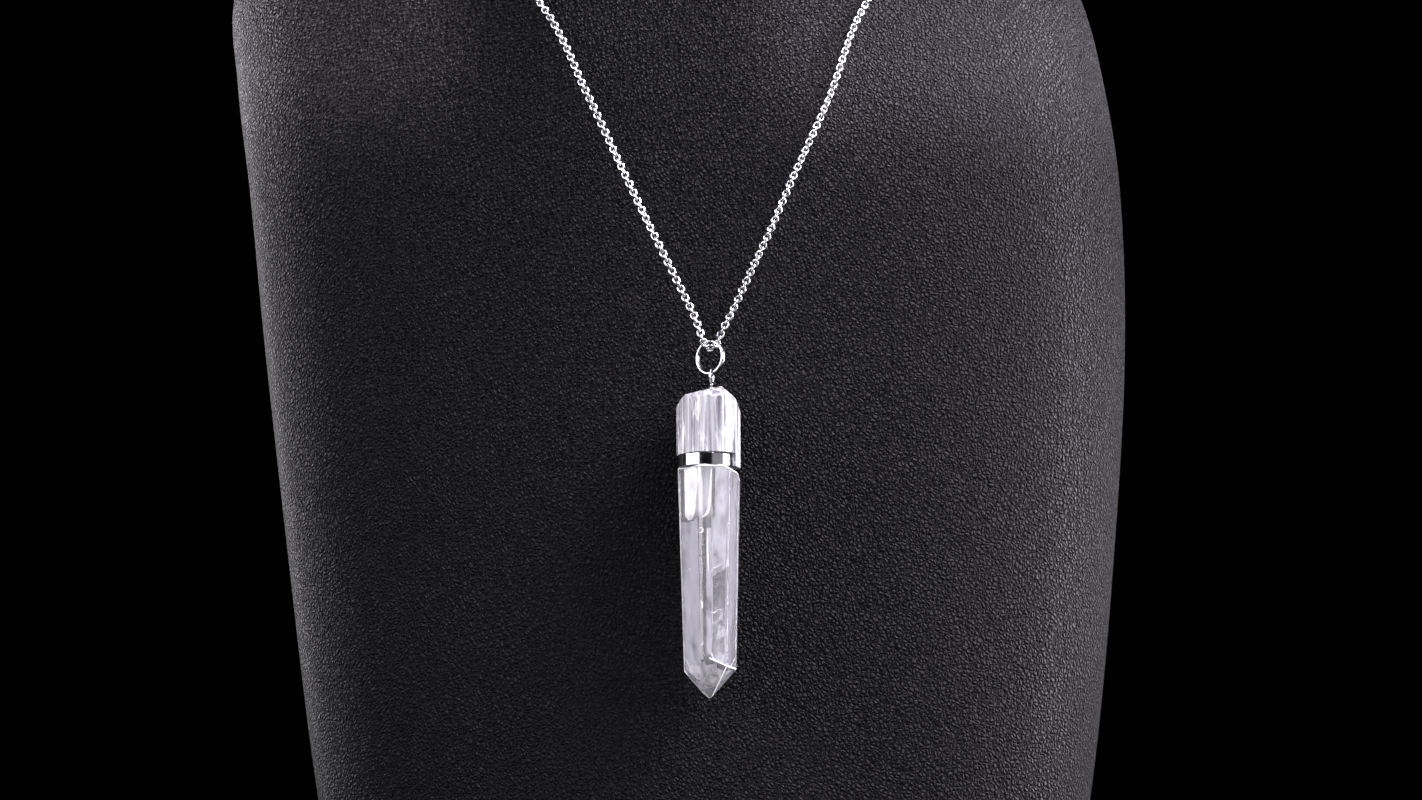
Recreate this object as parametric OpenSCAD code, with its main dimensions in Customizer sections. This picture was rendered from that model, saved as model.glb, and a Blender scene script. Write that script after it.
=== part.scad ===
// Crystal pendant on a fine cable chain, hung on a plain neck bust.
// Millimetres, +Z up, front towards -Y. The origin is the middle of the bust's flat base.
// Azimuths are degrees from straight ahead (-Y), positive towards +X.

/* [Neck bust] */
// Height of the bust
bust_h = 315; // [305:1:335]
// Flat sides round each section of the bust
bust_sides = 48; // [32:4:60]
// Height of one band of the bust's skin
bust_step = 9; // [8:1:14]

/* [Crystal] */
// Height of the top of the cap stone above the base
cap_top_z = 140.7; // [138:0.1:144]
// Gap between the crystal's axis and the bust's chest
axis_off = 6.3; // [6.2:0.1:7]
// Depth of the cap stone on the axis
cap_h = 14.4; // [13:0.1:16]
// Height of the silver collar
band_h = 2.7; // [2:0.1:3.5]
// Radius of the silver collar
band_r = 5.95; // [5.7:0.05:6.1]
// Length of the point stone on its axis
point_len = 48.7; // [44:0.1:54]
// Angle between a tip face and the crystal's axis
tip_face = 38.2; // [34:0.1:44]

/* [Silver] */
// Radius of the hidden post in the point stone
post_r = 2.05; // [1.6:0.05:2.4]
// Depth of the hidden post in the point stone
post_len = 11; // [8:0.5:14]
// Wire thickness of the screw eye
eye_wire = 0.56; // [0.5:0.02:0.7]
// Middle radius of the screw eye's loop
eye_r = 1.5; // [1.45:0.01:1.6]
// Middle radius of the jump ring
ring_r = 3.42; // [3.3:0.02:3.5]
// Width of the jump ring's flat wire along its axis
ring_w = 1.2; // [0.8:0.1:1.3]
// Thickness of the jump ring's flat wire
ring_t = 0.5; // [0.4:0.05:0.6]

/* [Chain] */
// Outer width of the chain
chain_d = 1.8; // [1.5:0.1:1.9]
// Gap between the chain and what it lies on
chain_gap = 0.3; // [0.2:0.05:0.5]
// Wire thickness of the clasp's ring
clasp_wire = 1.1; // [0.9:0.1:1.3]

/* [Hidden] */
$fn = 48;
// Sides round thin wire, stems and grooves
fine_fn = 24;

// Bust sections: height, half width, front y, back y, squareness, middle x
Z = 0;
HALF_W = 1;
FRONT = 2;
BACK = 3;
SQUARE = 4;
MID_X = 5;
BUST = [
    [0, 77, -48, 48, 2.6, 0],
    [20, 80.5, -50, 50, 2.6, 0.5],
    [60, 87, -48, 50, 2.5, 0.5],
    [110, 93, -40.5, 54, 2.4, 0],
    [150, 97, -34, 60, 2.35, -1],
    [185, 99, -28, 68, 2.3, -3],
    [210, 99.5, -21.5, 77, 2.25, -6],
    [232, 97.5, -13, 81, 2.2, -9],
    [250, 87, -5, 85, 2.1, -9],
    [264, 69, -0.5, 88, 2, -7.5],
    [276, 57, 2, 89, 2, -6],
    [292, 52.5, 2, 89, 2, -6],
    [bust_h, 50, 2, 89, 2, -6],
];
bust_last = len(BUST) - 1;
foot_round = 2;
neck_x = BUST[bust_last][MID_X];
neck_y = (BUST[bust_last][FRONT] + BUST[bust_last][BACK]) / 2;

// Chain on the bust: azimuth, height, lift off the skin
LEFT_STRAND = [
    [-174.5, 276, 0],
    [-153, 277.2, 0],
    [-129.9, 278, 0],
    [-104.7, 277.6, 0.7],
    [-78.7, 274, 0.7],
    [-54.3, 265.3, 0.2],
    [-33.6, 252.5, 0],
    [-20.8, 238.3, 0],
    [-13.5, 222.7, 0],
    [-9.8, 204.9, 0.7],
    [-6.4, 186.5, 2.2],
    [-2.8, 168, 3.8],
];
RIGHT_STRAND = [
    [5.2, 168, 3.8],
    [10.1, 186.1, 2.3],
    [16, 203.7, 0.8],
    [22, 221.3, 0.1],
    [30.9, 236.5, 0],
    [43.5, 250.2, 0],
    [61.4, 262.7, 0.3],
    [83.6, 271.5, 0.5],
    [107.8, 276.1, 0.5],
    [131.6, 277.3, 0],
    [153.8, 276.8, 0],
    [174.5, 276, 0],
];
// Bend of the chain through the jump ring: x, y, z
RING_BEND = [
    [-3, -39.2, 156],
    [-1.9, -40.7, 152.9],
    [-1.2, -41.4, 150.7],
    [-0.6, -41.1, 149.5],
    [0.4, -40.4, 149.1],
    [1.5, -39.6, 149.5],
    [2.1, -39.2, 150.6],
    [3, -39.1, 152.8],
    [4.4, -39.3, 155.5],
];
chain_sides = 8;
strand_steps = 3;

// Point stone's long faces: azimuth, distance from the axis at the top, taper
POINT_SIDES = [
    [-52, 5.65, 1.3],
    [-16, 6.5, 1.5],
    [13, 5.95, 0.85],
    [67.5, 5.85, 1.35],
    [124.5, 5.85, 1.3],
    [182, 5.8, 1.25],
    [243.5, 5.65, 1.3],
];
// Point stone's tip faces: azimuth, depth where the face meets the axis, angle past tip_face
POINT_TIP = [
    [-58, 49, -1],
    [-6, 47.4, 0],
    [66, 48.2, 0],
    [124, 48.6, 0],
    [182, 50.6, 0],
    [243, 49, -1],
];
// Bevels at the top of the point stone: azimuth, rise, distance
POINT_SHOULDER = [
    [75, 60, 2.2],
    [92, 45, 3.55],
    [94, 18, 5.45],
    [200, 50, 3.9],
];

// Cap stone's long faces: azimuth, distance from the axis, taper
CAP_SIDES = [
    [-82, 6.75, 0],
    [-52, 6.15, 0.3],
    [-22, 6.3, -0.3],
    [8, 6.05, 0.4],
    [38, 6.2, 0],
    [66, 6.3, 0.2],
    [92, 6.6, 0],
    [124, 6.2, 0.3],
    [152, 6.1, 0],
    [181, 5.95, 0],
    [211, 6.1, 0.2],
    [243, 6.25, 0],
];
// Cap stone's domed top: azimuth, rise, distance
CAP_DOME = [
    [-65, 75, -0.35],
    [-90, 46, 2.15],
    [-85, 25, 4.4],
    [-35, 52, 1.9],
    [-30, 22, 4.6],
    [10, 60, 1.2],
    [8, 28, 4.1],
    [48, 52, 1.9],
    [55, 22, 4.5],
    [90, 45, 1.98],
    [95, 28, 3.4],
    [140, 42, 2.4],
    [180, 54, 1.3],
    [184, 22, 4.3],
    [228, 42, 2.3],
];
// Striations down the cap stone: azimuth, distance of the groove's floor, groove radius
CAP_GROOVES = [
    [-74, 6.42, 0.5],
    [-60, 6.1, 0.7],
    [-45, 6.05, 0.4],
    [-33, 6.25, 0.6],
    [-14, 6.2, 0.45],
    [-3, 5.95, 0.8],
    [17, 6.0, 0.4],
    [29, 6.1, 0.6],
    [49, 6.2, 0.5],
    [108, 6.3, 0.7],
    [138, 6.25, 0.6],
    [196, 6.0, 0.7],
    [228, 6.25, 0.6],
    [256, 6.35, 0.6],
];
// Collar: middle off the axis, gap to each stone, gap to the clear wall, bevel
band_x = -0.7;
band_seat = 0.1;
band_wall = 0.12;
band_edge = 0.18;
// Azimuths of the cap stone's clear wall that hangs past the collar
skirt_from = 62;
skirt_to = 128;
// Drilled bores and the posts in them
bore_x = -2;
bore_y = 0.2;
bore_play = 0.12;
bore_end = 0.2;
cap_post_r = 1.6;
cap_post_len = 5;
// Screw eye, jump ring and clasp
eye_x = 0.6;
eye_z = 2.4;
eye_az = 75;
eye_stem_r = 0.34;
eye_stem_len = 3;
eye_foot_r = 0.75;
eye_foot_h = 0.4;
eye_play = 0.1;
ring_x = 0.4;
ring_z = 6.47;
ring_az = -41;
ring_edge = 0.14;
clasp_r = 2.6;
clasp_end_r = 0.95;
clasp_end_wire = 0.5;
clasp_z = 276;
clasp_off = 1.05;
solder = 0.1;
// The stretch of the chest that the crystal hangs along, down from the cap stone's top
chest_from = 1;
chest_to = 65;
// Larger than the crystal, for the blocks that cut its faces
big = 130;

skin_top = on_skin(0, cap_top_z - chest_from, 0);
skin_tip = on_skin(0, cap_top_z - chest_to, 0);
chest_tilt = atan((skin_top[1] - skin_tip[1]) / (skin_top[2] - skin_tip[2]));
top_y = skin_top[1] - axis_off * cos(chest_tilt);
point_top = -cap_h - band_h - 2 * band_seat;
// Tip depths in the table are for a point stone of this length
table_len = 48.7;
point_scale = point_len / table_len;

route = concat(strand(LEFT_STRAND), RING_BEND, strand(RIGHT_STRAND));

// Index of the bust row at or below a height
function row_at(z) = min(max(len([for (r = BUST) if (r[Z] <= z) 1]) - 1, 0), bust_last - 1);

// Slope of one column of the bust table at a row
function row_slope(k, c) =
    let (a = max(k - 1, 0), b = min(k + 1, bust_last))
    (BUST[b][c] - BUST[a][c]) / (BUST[b][Z] - BUST[a][Z]);

// One column of the bust table at any height, as a smooth curve
function column(height, c) =
    let (
        z = min(max(height, 0), bust_h),
        k = row_at(z),
        h = BUST[k + 1][Z] - BUST[k][Z],
        t = (z - BUST[k][Z]) / h
    )
    (2 * t * t * t - 3 * t * t + 1) * BUST[k][c]
    + (t * t * t - 2 * t * t + t) * h * row_slope(k, c)
    + (3 * t * t - 2 * t * t * t) * BUST[k + 1][c]
    + (t * t * t - t * t) * h * row_slope(k + 1, c);

function signed_pow(v, e) = sign(v) * pow(abs(v), e);

// Point of the bust's skin at an azimuth and height, drawn in by inset
function skin(az, z, inset = 0) =
    let (
        e = 2 / column(z, SQUARE),
        w = column(z, HALF_W) - inset,
        front = column(z, FRONT) + inset,
        back = column(z, BACK) - inset
    )
    [
        column(z, MID_X) + w * signed_pow(sin(az), e),
        (front + back) / 2 - (back - front) / 2 * signed_pow(cos(az), e),
        z,
    ];

function skin_normal(az, z) =
    let (n = cross(skin(az + 0.5, z) - skin(az - 0.5, z), skin(az, z + 0.5) - skin(az, z - 0.5)))
    n / norm(n);

function on_skin(az, z, off) = skin(az, z) + skin_normal(az, z) * off;

// Point between b and c on a smooth line through a, b, c and d
function spline(a, b, c, d, t) =
    0.5 * (2 * b + (c - a) * t)
    + 0.5 * ((2 * a - 5 * b + 4 * c - d) * t * t + (3 * b - 3 * c + d - a) * t * t * t);

// Smooth line through a list of points, with steps between each two
function smooth(p, steps) =
    let (last = len(p) - 1)
    concat(
        [
            for (i = [0:last - 1], j = [0:steps - 1])
                let (
                    before = i == 0 ? 2 * p[0] - p[1] : p[i - 1],
                    after = i + 2 > last ? 2 * p[last] - p[last - 1] : p[i + 2]
                )
                spline(before, p[i], p[i + 1], after, j / steps)
        ],
        [p[last]]
    );

// Middle line of the chain along a strand's rows
function strand(rows) =
    [for (r = smooth(rows, strand_steps)) on_skin(r[0], r[1], chain_d / 2 + chain_gap + r[2])];

// One ring of points square to a line, turned to face away from the neck
function ring_points(line, i, r, sides) =
    let (
        last = len(line) - 1,
        step = line[min(i + 1, last)] - line[max(i - 1, 0)],
        away = [line[i][0] - neck_x, line[i][1] - neck_y, 0],
        side = cross(step, away),
        u = side / norm(side),
        v = cross(u, step) / norm(step)
    )
    [for (k = [0:sides - 1]) line[i] + r * (cos(360 * k / sides) * u + sin(360 * k / sides) * v)];

// Side faces and two end faces of a stack of rings
function stack_faces(rings, sides) =
    concat(
        [
            for (i = [0:rings - 2], k = [0:sides - 1])
                let (a = i * sides + k, b = i * sides + (k + 1) % sides)
                [a, b, b + sides, a + sides]
        ],
        [[for (k = [sides - 1:-1:0]) k]],
        [[for (k = [0:sides - 1]) (rings - 1) * sides + k]]
    );

// Everything on one side of a flat face at a distance from the origin
module behind_face(az, rise, dist) {
    rotate([0, 0, az]) rotate([-rise, 0, 0]) translate([-big / 2, -dist, -big / 2]) cube(big);
}

module on_pendant() {
    translate([0, top_y, cap_top_z]) rotate([-chest_tilt, 0, 0]) children();
}

// Rounded-off rectangle for a turned ring of flat stock
module flat_stock(r, thick, wide, edge) {
    polygon([
        [r - thick / 2, edge - wide / 2],
        [r - thick / 2 + edge, -wide / 2],
        [r + thick / 2 - edge, -wide / 2],
        [r + thick / 2, edge - wide / 2],
        [r + thick / 2, wide / 2 - edge],
        [r + thick / 2 - edge, wide / 2],
        [r - thick / 2 + edge, wide / 2],
        [r - thick / 2, wide / 2 - edge],
    ]);
}

module wire_ring(r, wire) {
    rotate_extrude() translate([r, 0]) circle(d = wire, $fn = fine_fn);
}

module neck_bust() {
    bands = round((bust_h - 2 * foot_round) / bust_step);
    band_step = (bust_h - 2 * foot_round) / bands;
    levels = concat(
        [[0, foot_round]],
        [for (i = [0:bands]) [foot_round + band_step * i, 0]],
        [[bust_h, foot_round]]
    );
    points = [for (l = levels, k = [0:bust_sides - 1]) skin(-360 * k / bust_sides, l[0], l[1])];
    color("#232226") polyhedron(points, stack_faces(len(levels), bust_sides));
}

module cap_stone() {
    color("#e9e8ee") on_pendant() difference() {
        intersection() {
            translate([-big / 2, -big / 2, -cap_h - band_h]) cube([big, big, cap_h + band_h]);
            intersection_for(f = CAP_SIDES) behind_face(f[0], -f[2], f[1]);
            intersection_for(f = CAP_DOME) behind_face(f[0], f[1], f[2]);
        }
        // Below the collar's top only the clear wall on the right stays
        translate([0, 0, -cap_h - big]) {
            rotate([0, 0, skirt_from]) translate([-big, -big / 2, 0]) cube(big);
            rotate([0, 0, skirt_to]) translate([0, -big / 2, 0]) cube(big);
        }
        translate([band_x, 0, -cap_h - 2 * band_h]) cylinder(r = band_r + band_wall, h = 2 * band_h);
        for (g = CAP_GROOVES)
            rotate([0, 0, g[0]]) translate([0, -g[1] - g[2], -big / 2])
                cylinder(r = g[2], h = big, $fn = fine_fn);
        translate([bore_x, bore_y, -cap_h - band_h])
            cylinder(r = cap_post_r + bore_play, h = band_h + cap_post_len + bore_end);
        translate([eye_x, 0, -eye_stem_len - bore_end])
            cylinder(r = eye_stem_r + eye_play, h = big, $fn = fine_fn);
    }
}

module band() {
    color("#d5d7da") on_pendant() translate([0, 0, -cap_h - band_seat]) {
        translate([band_x, 0, -band_h / 2]) rotate_extrude() polygon([
            [0, -band_h / 2],
            [band_r - band_edge, -band_h / 2],
            [band_r, band_edge - band_h / 2],
            [band_r, band_h / 2 - band_edge],
            [band_r - band_edge, band_h / 2],
            [0, band_h / 2],
        ]);
        translate([bore_x, bore_y, -band_h / 2]) cylinder(r = cap_post_r, h = cap_post_len + band_h / 2);
        translate([bore_x, bore_y, -band_h]) post_pin(post_r, post_len);
    }
}

// Pin with a round end, down from the origin
module post_pin(r, len) {
    translate([0, 0, r - len]) cylinder(r = r, h = len - r + band_h / 2);
    translate([0, 0, r - len]) sphere(r = r);
}

module point_stone() {
    color("#cfcddd") on_pendant() difference() {
        translate([0, 0, point_top]) intersection() {
            translate([-big / 2, -big / 2, -big]) cube(big);
            intersection_for(f = POINT_SIDES) behind_face(f[0], -f[2], f[1]);
            intersection_for(f = POINT_TIP)
                behind_face(f[0], -tip_face - f[2], f[1] * sin(tip_face + f[2]) * point_scale);
            intersection_for(f = POINT_SHOULDER) behind_face(f[0], f[1], f[2]);
        }
        translate([bore_x, bore_y, -cap_h - band_seat - band_h])
            post_pin(post_r + bore_play, post_len + bore_play);
    }
}

module screw_eye() {
    color("#d5d7da") on_pendant() translate([eye_x, 0, 0]) {
        translate([0, 0, eye_z]) rotate([90, 0, eye_az]) wire_ring(eye_r, eye_wire);
        translate([0, 0, -eye_stem_len])
            cylinder(r = eye_stem_r, h = eye_stem_len + eye_z - eye_r, $fn = fine_fn);
        translate([0, 0, eye_play]) cylinder(r1 = eye_foot_r, r2 = eye_stem_r, h = eye_foot_h);
    }
}

module jump_ring() {
    color("#d5d7da") on_pendant() translate([ring_x, 0, ring_z]) rotate([90, 0, ring_az])
        rotate_extrude() flat_stock(ring_r, ring_t, ring_w, ring_edge);
}

module chain() {
    points = [for (i = [0:len(route) - 1]) each ring_points(route, i, chain_d / 2, chain_sides)];
    color("#c9cbcf") polyhedron(points, stack_faces(len(route), chain_sides));
}

module clasp() {
    end_x = clasp_r + clasp_wire / 2 + clasp_end_r - solder;
    color("#d5d7da") translate(on_skin(180, clasp_z, clasp_off)) rotate([90, 0, 0]) {
        wire_ring(clasp_r, clasp_wire);
        for (side = [-1, 1]) translate([side * end_x, 0, 0]) wire_ring(clasp_end_r, clasp_end_wire);
    }
}

neck_bust();
cap_stone();
band();
point_stone();
screw_eye();
jump_ring();
chain();
clasp();
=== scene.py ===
"""A quartz point pendant on a fine silver chain, hung on a leatherette neck bust.

A piece's sizes are millimetres until its mesh is made. Meshes, finishes and the studio are in
metres. +Z is up and the front faces -Y. Azimuths are degrees from straight ahead (-Y), positive
towards +X.
"""

from __future__ import annotations

import logging
import math
import random
from dataclasses import dataclass, field
from enum import Enum
from typing import NamedTuple, Optional, Sequence, Union

import bmesh
import bpy
import numpy as np
from mathutils import Matrix, Vector, noise

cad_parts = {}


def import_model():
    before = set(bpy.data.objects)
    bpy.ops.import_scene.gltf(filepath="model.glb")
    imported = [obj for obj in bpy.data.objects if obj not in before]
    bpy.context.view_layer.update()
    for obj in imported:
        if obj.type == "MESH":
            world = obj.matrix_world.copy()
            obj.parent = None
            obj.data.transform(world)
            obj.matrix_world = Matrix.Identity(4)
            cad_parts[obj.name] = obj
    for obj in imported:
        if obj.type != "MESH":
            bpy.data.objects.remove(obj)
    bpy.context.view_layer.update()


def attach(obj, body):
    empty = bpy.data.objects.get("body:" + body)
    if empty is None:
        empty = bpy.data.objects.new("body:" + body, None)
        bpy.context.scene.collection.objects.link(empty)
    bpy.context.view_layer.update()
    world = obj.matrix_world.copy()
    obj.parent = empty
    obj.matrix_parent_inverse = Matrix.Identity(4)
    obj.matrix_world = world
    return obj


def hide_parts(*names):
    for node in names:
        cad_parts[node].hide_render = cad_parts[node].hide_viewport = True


log = logging.getLogger("pendant")

MM = 0.001
BODY = "root"

Node = bpy.types.Node
NodeTree = bpy.types.NodeTree
Socket = bpy.types.NodeSocket
Material = bpy.types.Material
Piece = bpy.types.Object
Colour = tuple[float, float, float]
Value = Union[float, Colour, Socket]


class Slot(Enum):
    """Material slots of the record."""

    LEATHERETTE = "leatherette"
    CAP_QUARTZ = "cap_quartz"
    POINT_QUARTZ = "point_quartz"
    SILVER = "silver"
    CHAIN_SILVER = "chain_silver"


# Shader graphs and shared effects


class Graph:
    """A node tree that is being filled in."""

    def __init__(self, tree: NodeTree) -> None:
        """Keeps the tree that nodes are added to."""
        self.tree = tree

    def add(self, kind: str, **settings: object) -> Node:
        """Adds a node.

        Args:
            kind: the node's full type name.
            settings: node properties by their attribute names.

        Returns:
            The new node.
        """
        node = self.tree.nodes.new(kind)
        for name, setting in settings.items():
            setattr(node, name, setting)
        return node

    def put(self, socket: Socket, value: Value) -> None:
        """Links a socket to an output, or sets its plain value.

        Args:
            socket: the input.
            value: an output, a colour or a number.
        """
        if isinstance(value, Socket):
            self.tree.links.new(value, socket)
        elif isinstance(value, tuple) and socket.type == "RGBA":
            socket.default_value = (*value, 1.0)
        else:
            socket.default_value = value

    def feed(self, node: Node, **values: Value) -> None:
        """Feeds a node's inputs, by their names with "_" for a space."""
        for name, value in values.items():
            self.put(node.inputs[name.replace("_", " ")], value)

    def place(self, across: Value, along: Value) -> Socket:
        """The surface point in the piece's own frame, scaled across and along its upright axis.

        Args:
            across: scale of X and Y, per metre.
            along: scale of Z, per metre.

        Returns:
            The scaled point.
        """
        scale = self.add("ShaderNodeCombineXYZ")
        self.feed(scale, X=across, Y=across, Z=along)
        point = self.add("ShaderNodeVectorMath", operation="MULTIPLY")
        self.put(point.inputs[0], self.add("ShaderNodeTexCoord").outputs["Object"])
        self.put(point.inputs[1], scale.outputs["Vector"])
        return point.outputs["Vector"]

    def noise(
        self, point: Value, detail: float = 3.0, warp: float = 0.0, scale: float = 1.0
    ) -> Socket:
        """Fractal noise between 0 and 1 at a scaled point.

        Args:
            point: the scaled point.
            detail: octaves.
            warp: how far the noise is bent.
            scale: a further scale.

        Returns:
            The noise.
        """
        node = self.add("ShaderNodeTexNoise")
        self.feed(node, Vector=point, Scale=scale, Detail=detail, Distortion=warp)
        return node.outputs["Fac"]

    def math(self, operation: str, a: Value, b: Value = 0.0) -> Socket:
        """One sum on two values.

        Args:
            operation: the node's operation.
            a: the first value.
            b: the second value, where there is one.

        Returns:
            The result.
        """
        node = self.add("ShaderNodeMath", operation=operation)
        self.put(node.inputs[0], a)
        self.put(node.inputs[1], b)
        return node.outputs[0]

    def remap(
        self, value: Value, low: Value, high: Value, to_low: Value = 0.0, to_high: Value = 1.0
    ) -> Socket:
        """Maps low..high to to_low..to_high with soft ends, held at both.

        Args:
            value: what is mapped.
            low: start of the range.
            high: end of the range.
            to_low: result at the start.
            to_high: result at the end.

        Returns:
            The result.
        """
        node = self.add("ShaderNodeMapRange", interpolation_type="SMOOTHSTEP")
        self.feed(node, Value=value, From_Min=low, From_Max=high, To_Min=to_low, To_Max=to_high)
        return node.outputs["Result"]

    def between(self, mask: Value, bare: Value, full: Value) -> Socket:
        """A value that goes from bare at mask 0 to full at mask 1."""
        return self.remap(mask, 0.0, 1.0, bare, full)

    def mix(self, factor: Value, a: Value, b: Value) -> Socket:
        """Colour a at factor 0 and b at factor 1.

        Args:
            factor: share of b.
            a: the first colour.
            b: the second colour.

        Returns:
            The mixed colour.
        """
        node = self.add("ShaderNodeMix", data_type="RGBA")
        sockets = [s for s in node.inputs if s.enabled]
        for socket, value in zip(sockets, (factor, a, b)):
            self.put(socket, value)
        return next(s for s in node.outputs if s.enabled)

    def bump(self, height: Value, distance: float) -> Socket:
        """A normal from a height map, with its depth in metres.

        Args:
            height: the height map.
            distance: depth of its full range.

        Returns:
            The normal.
        """
        node = self.add("ShaderNodeBump")
        self.feed(node, Distance=distance, Height=height)
        return node.outputs["Normal"]

    def effect(self, effect: "Effect", **values: Value) -> Node:
        """Places a shared effect with this material's own values.

        Args:
            effect: the shared effect.
            values: its inputs, in small letters.

        Returns:
            The group's node.
        """
        node = self.add("ShaderNodeGroup", node_tree=effect.tree())
        self.feed(node, **{name.capitalize(): value for name, value in values.items()})
        return node

    def mask(self, effect: "Effect", **values: Value) -> Socket:
        """The mask of a shared effect with this material's own values."""
        return self.effect(effect, **values).outputs["Mask"]


def fill_drawn(graph: Graph, taken: Node, given: Node, detail: float, warp: float) -> None:
    """Noise drawn out along the piece and cut to a mask.

    Args:
        graph: the effect's graph.
        taken: its inputs.
        given: its outputs.
        detail: octaves of the noise.
        warp: how far the noise is bent.
    """
    across, level = taken.outputs["Across"], taken.outputs["Level"]
    along = graph.math("MULTIPLY", across, taken.outputs["Drawn"])
    found = graph.noise(graph.place(across, along), detail=detail, warp=warp)
    half = graph.math("MULTIPLY", taken.outputs["Softness"], 0.5)
    low, high = graph.math("SUBTRACT", level, half), graph.math("ADD", level, half)
    graph.put(given.inputs["Mask"], graph.remap(found, low, high))


def fill_streaks(graph: Graph, taken: Node, given: Node) -> None:
    """Upright streaks, as growth lines and drill marks leave in a crystal."""
    fill_drawn(graph, taken, given, detail=4.0, warp=0.35)


def fill_clouds(graph: Graph, taken: Node, given: Node) -> None:
    """Wispy clouds, as veils and healed cracks look in a stone."""
    fill_drawn(graph, taken, given, detail=7.0, warp=0.9)


def fill_pebbles(graph: Graph, taken: Node, given: Node) -> None:
    """Rounded pebbles of leather grain with narrow creases between them.

    Args:
        graph: the effect's graph.
        taken: its inputs.
        given: its outputs.
    """
    wander_scale, wander_by, crease_width = 0.9, 0.9, 0.32
    fine_share, least_height = 0.3, 0.35
    fine_scale, broad_scale = 3.1, 0.22
    across = taken.outputs["Across"]
    point = graph.place(across, across)
    wander = graph.add("ShaderNodeTexNoise")
    graph.feed(wander, Vector=point, Scale=wander_scale)
    nudge = graph.add("ShaderNodeVectorMath", operation="SCALE")
    graph.put(nudge.inputs[0], wander.outputs["Color"])
    graph.feed(nudge, Scale=wander_by)
    moved = graph.add("ShaderNodeVectorMath", operation="ADD")
    graph.put(moved.inputs[0], point)
    graph.put(moved.inputs[1], nudge.outputs["Vector"])
    cells = graph.add("ShaderNodeTexVoronoi", feature="DISTANCE_TO_EDGE")
    graph.feed(cells, Vector=moved.outputs["Vector"], Scale=1.0)
    dome = graph.remap(cells.outputs["Distance"], 0.0, crease_width)
    fine = graph.noise(point, detail=3.0, scale=fine_scale)
    broad = graph.noise(point, detail=2.0, scale=broad_scale)
    high = graph.math("MULTIPLY", dome, graph.math("ADD", broad, least_height))
    height = graph.math("ADD", high, graph.math("MULTIPLY", fine, fine_share))
    graph.feed(given, Height=height, Mask=dome)


def fill_wear(graph: Graph, taken: Node, given: Node) -> None:
    """Hair scratches and faint smudges on polished metal.

    Args:
        graph: the effect's graph.
        taken: its inputs.
        given: its outputs.
    """
    hair_drawn, smudge_share = 0.06, 0.12
    one_hair, other_hair = (0.6, 0.72), (0.62, 0.74)
    across = taken.outputs["Across"]
    drawn = graph.math("MULTIPLY", across, hair_drawn)
    one_way = graph.remap(graph.noise(graph.place(across, drawn), detail=2.0), *one_hair)
    other_way = graph.remap(graph.noise(graph.place(drawn, across), detail=2.0), *other_hair)
    broad = graph.math("MULTIPLY", across, smudge_share)
    smudge = graph.noise(graph.place(broad, broad), detail=5.0, warp=0.5)
    graph.feed(given, Mask=graph.math("MAXIMUM", one_way, other_way), Smudge=smudge)


DRAWN_INPUTS = ("Across", "Drawn", "Level", "Softness")


class Effect(Enum):
    """Effects that the finishes share, each a node group built once."""

    STREAKS = ("Upright streaks", fill_streaks, DRAWN_INPUTS, ("Mask",))
    CLOUDS = ("Mineral clouds", fill_clouds, DRAWN_INPUTS, ("Mask",))
    PEBBLES = ("Leather pebbles", fill_pebbles, ("Across",), ("Height", "Mask"))
    WEAR = ("Polished wear", fill_wear, ("Across",), ("Mask", "Smudge"))

    def tree(self) -> NodeTree:
        """The effect's node group, made on first use.

        Returns:
            The group's node tree.
        """
        title, fill, inputs, outputs = self.value
        found = bpy.data.node_groups.get(title)
        if found:
            return found
        tree = bpy.data.node_groups.new(title, "ShaderNodeTree")
        for names, way in ((inputs, "INPUT"), (outputs, "OUTPUT")):
            for name in names:
                tree.interface.new_socket(name=name, in_out=way, socket_type="NodeSocketFloat")
        graph = Graph(tree)
        fill(graph, graph.add("NodeGroupInput"), graph.add("NodeGroupOutput"))
        return tree


def new_surface(name: str, **plain: Value) -> tuple[Material, Graph, Node]:
    """Starts a material with one Principled BSDF.

    Args:
        name: the material's name.
        plain: values for the shader's own sockets, by their names with "_" for a space.

    Returns:
        The material, its graph and the shader node.
    """
    material = bpy.data.materials.new(name)
    material.use_nodes = True
    graph = Graph(material.node_tree)
    shader = next(n for n in material.node_tree.nodes if n.type == "BSDF_PRINCIPLED")
    graph.feed(shader, **plain)
    return material, graph, shader


# Finishes


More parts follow.
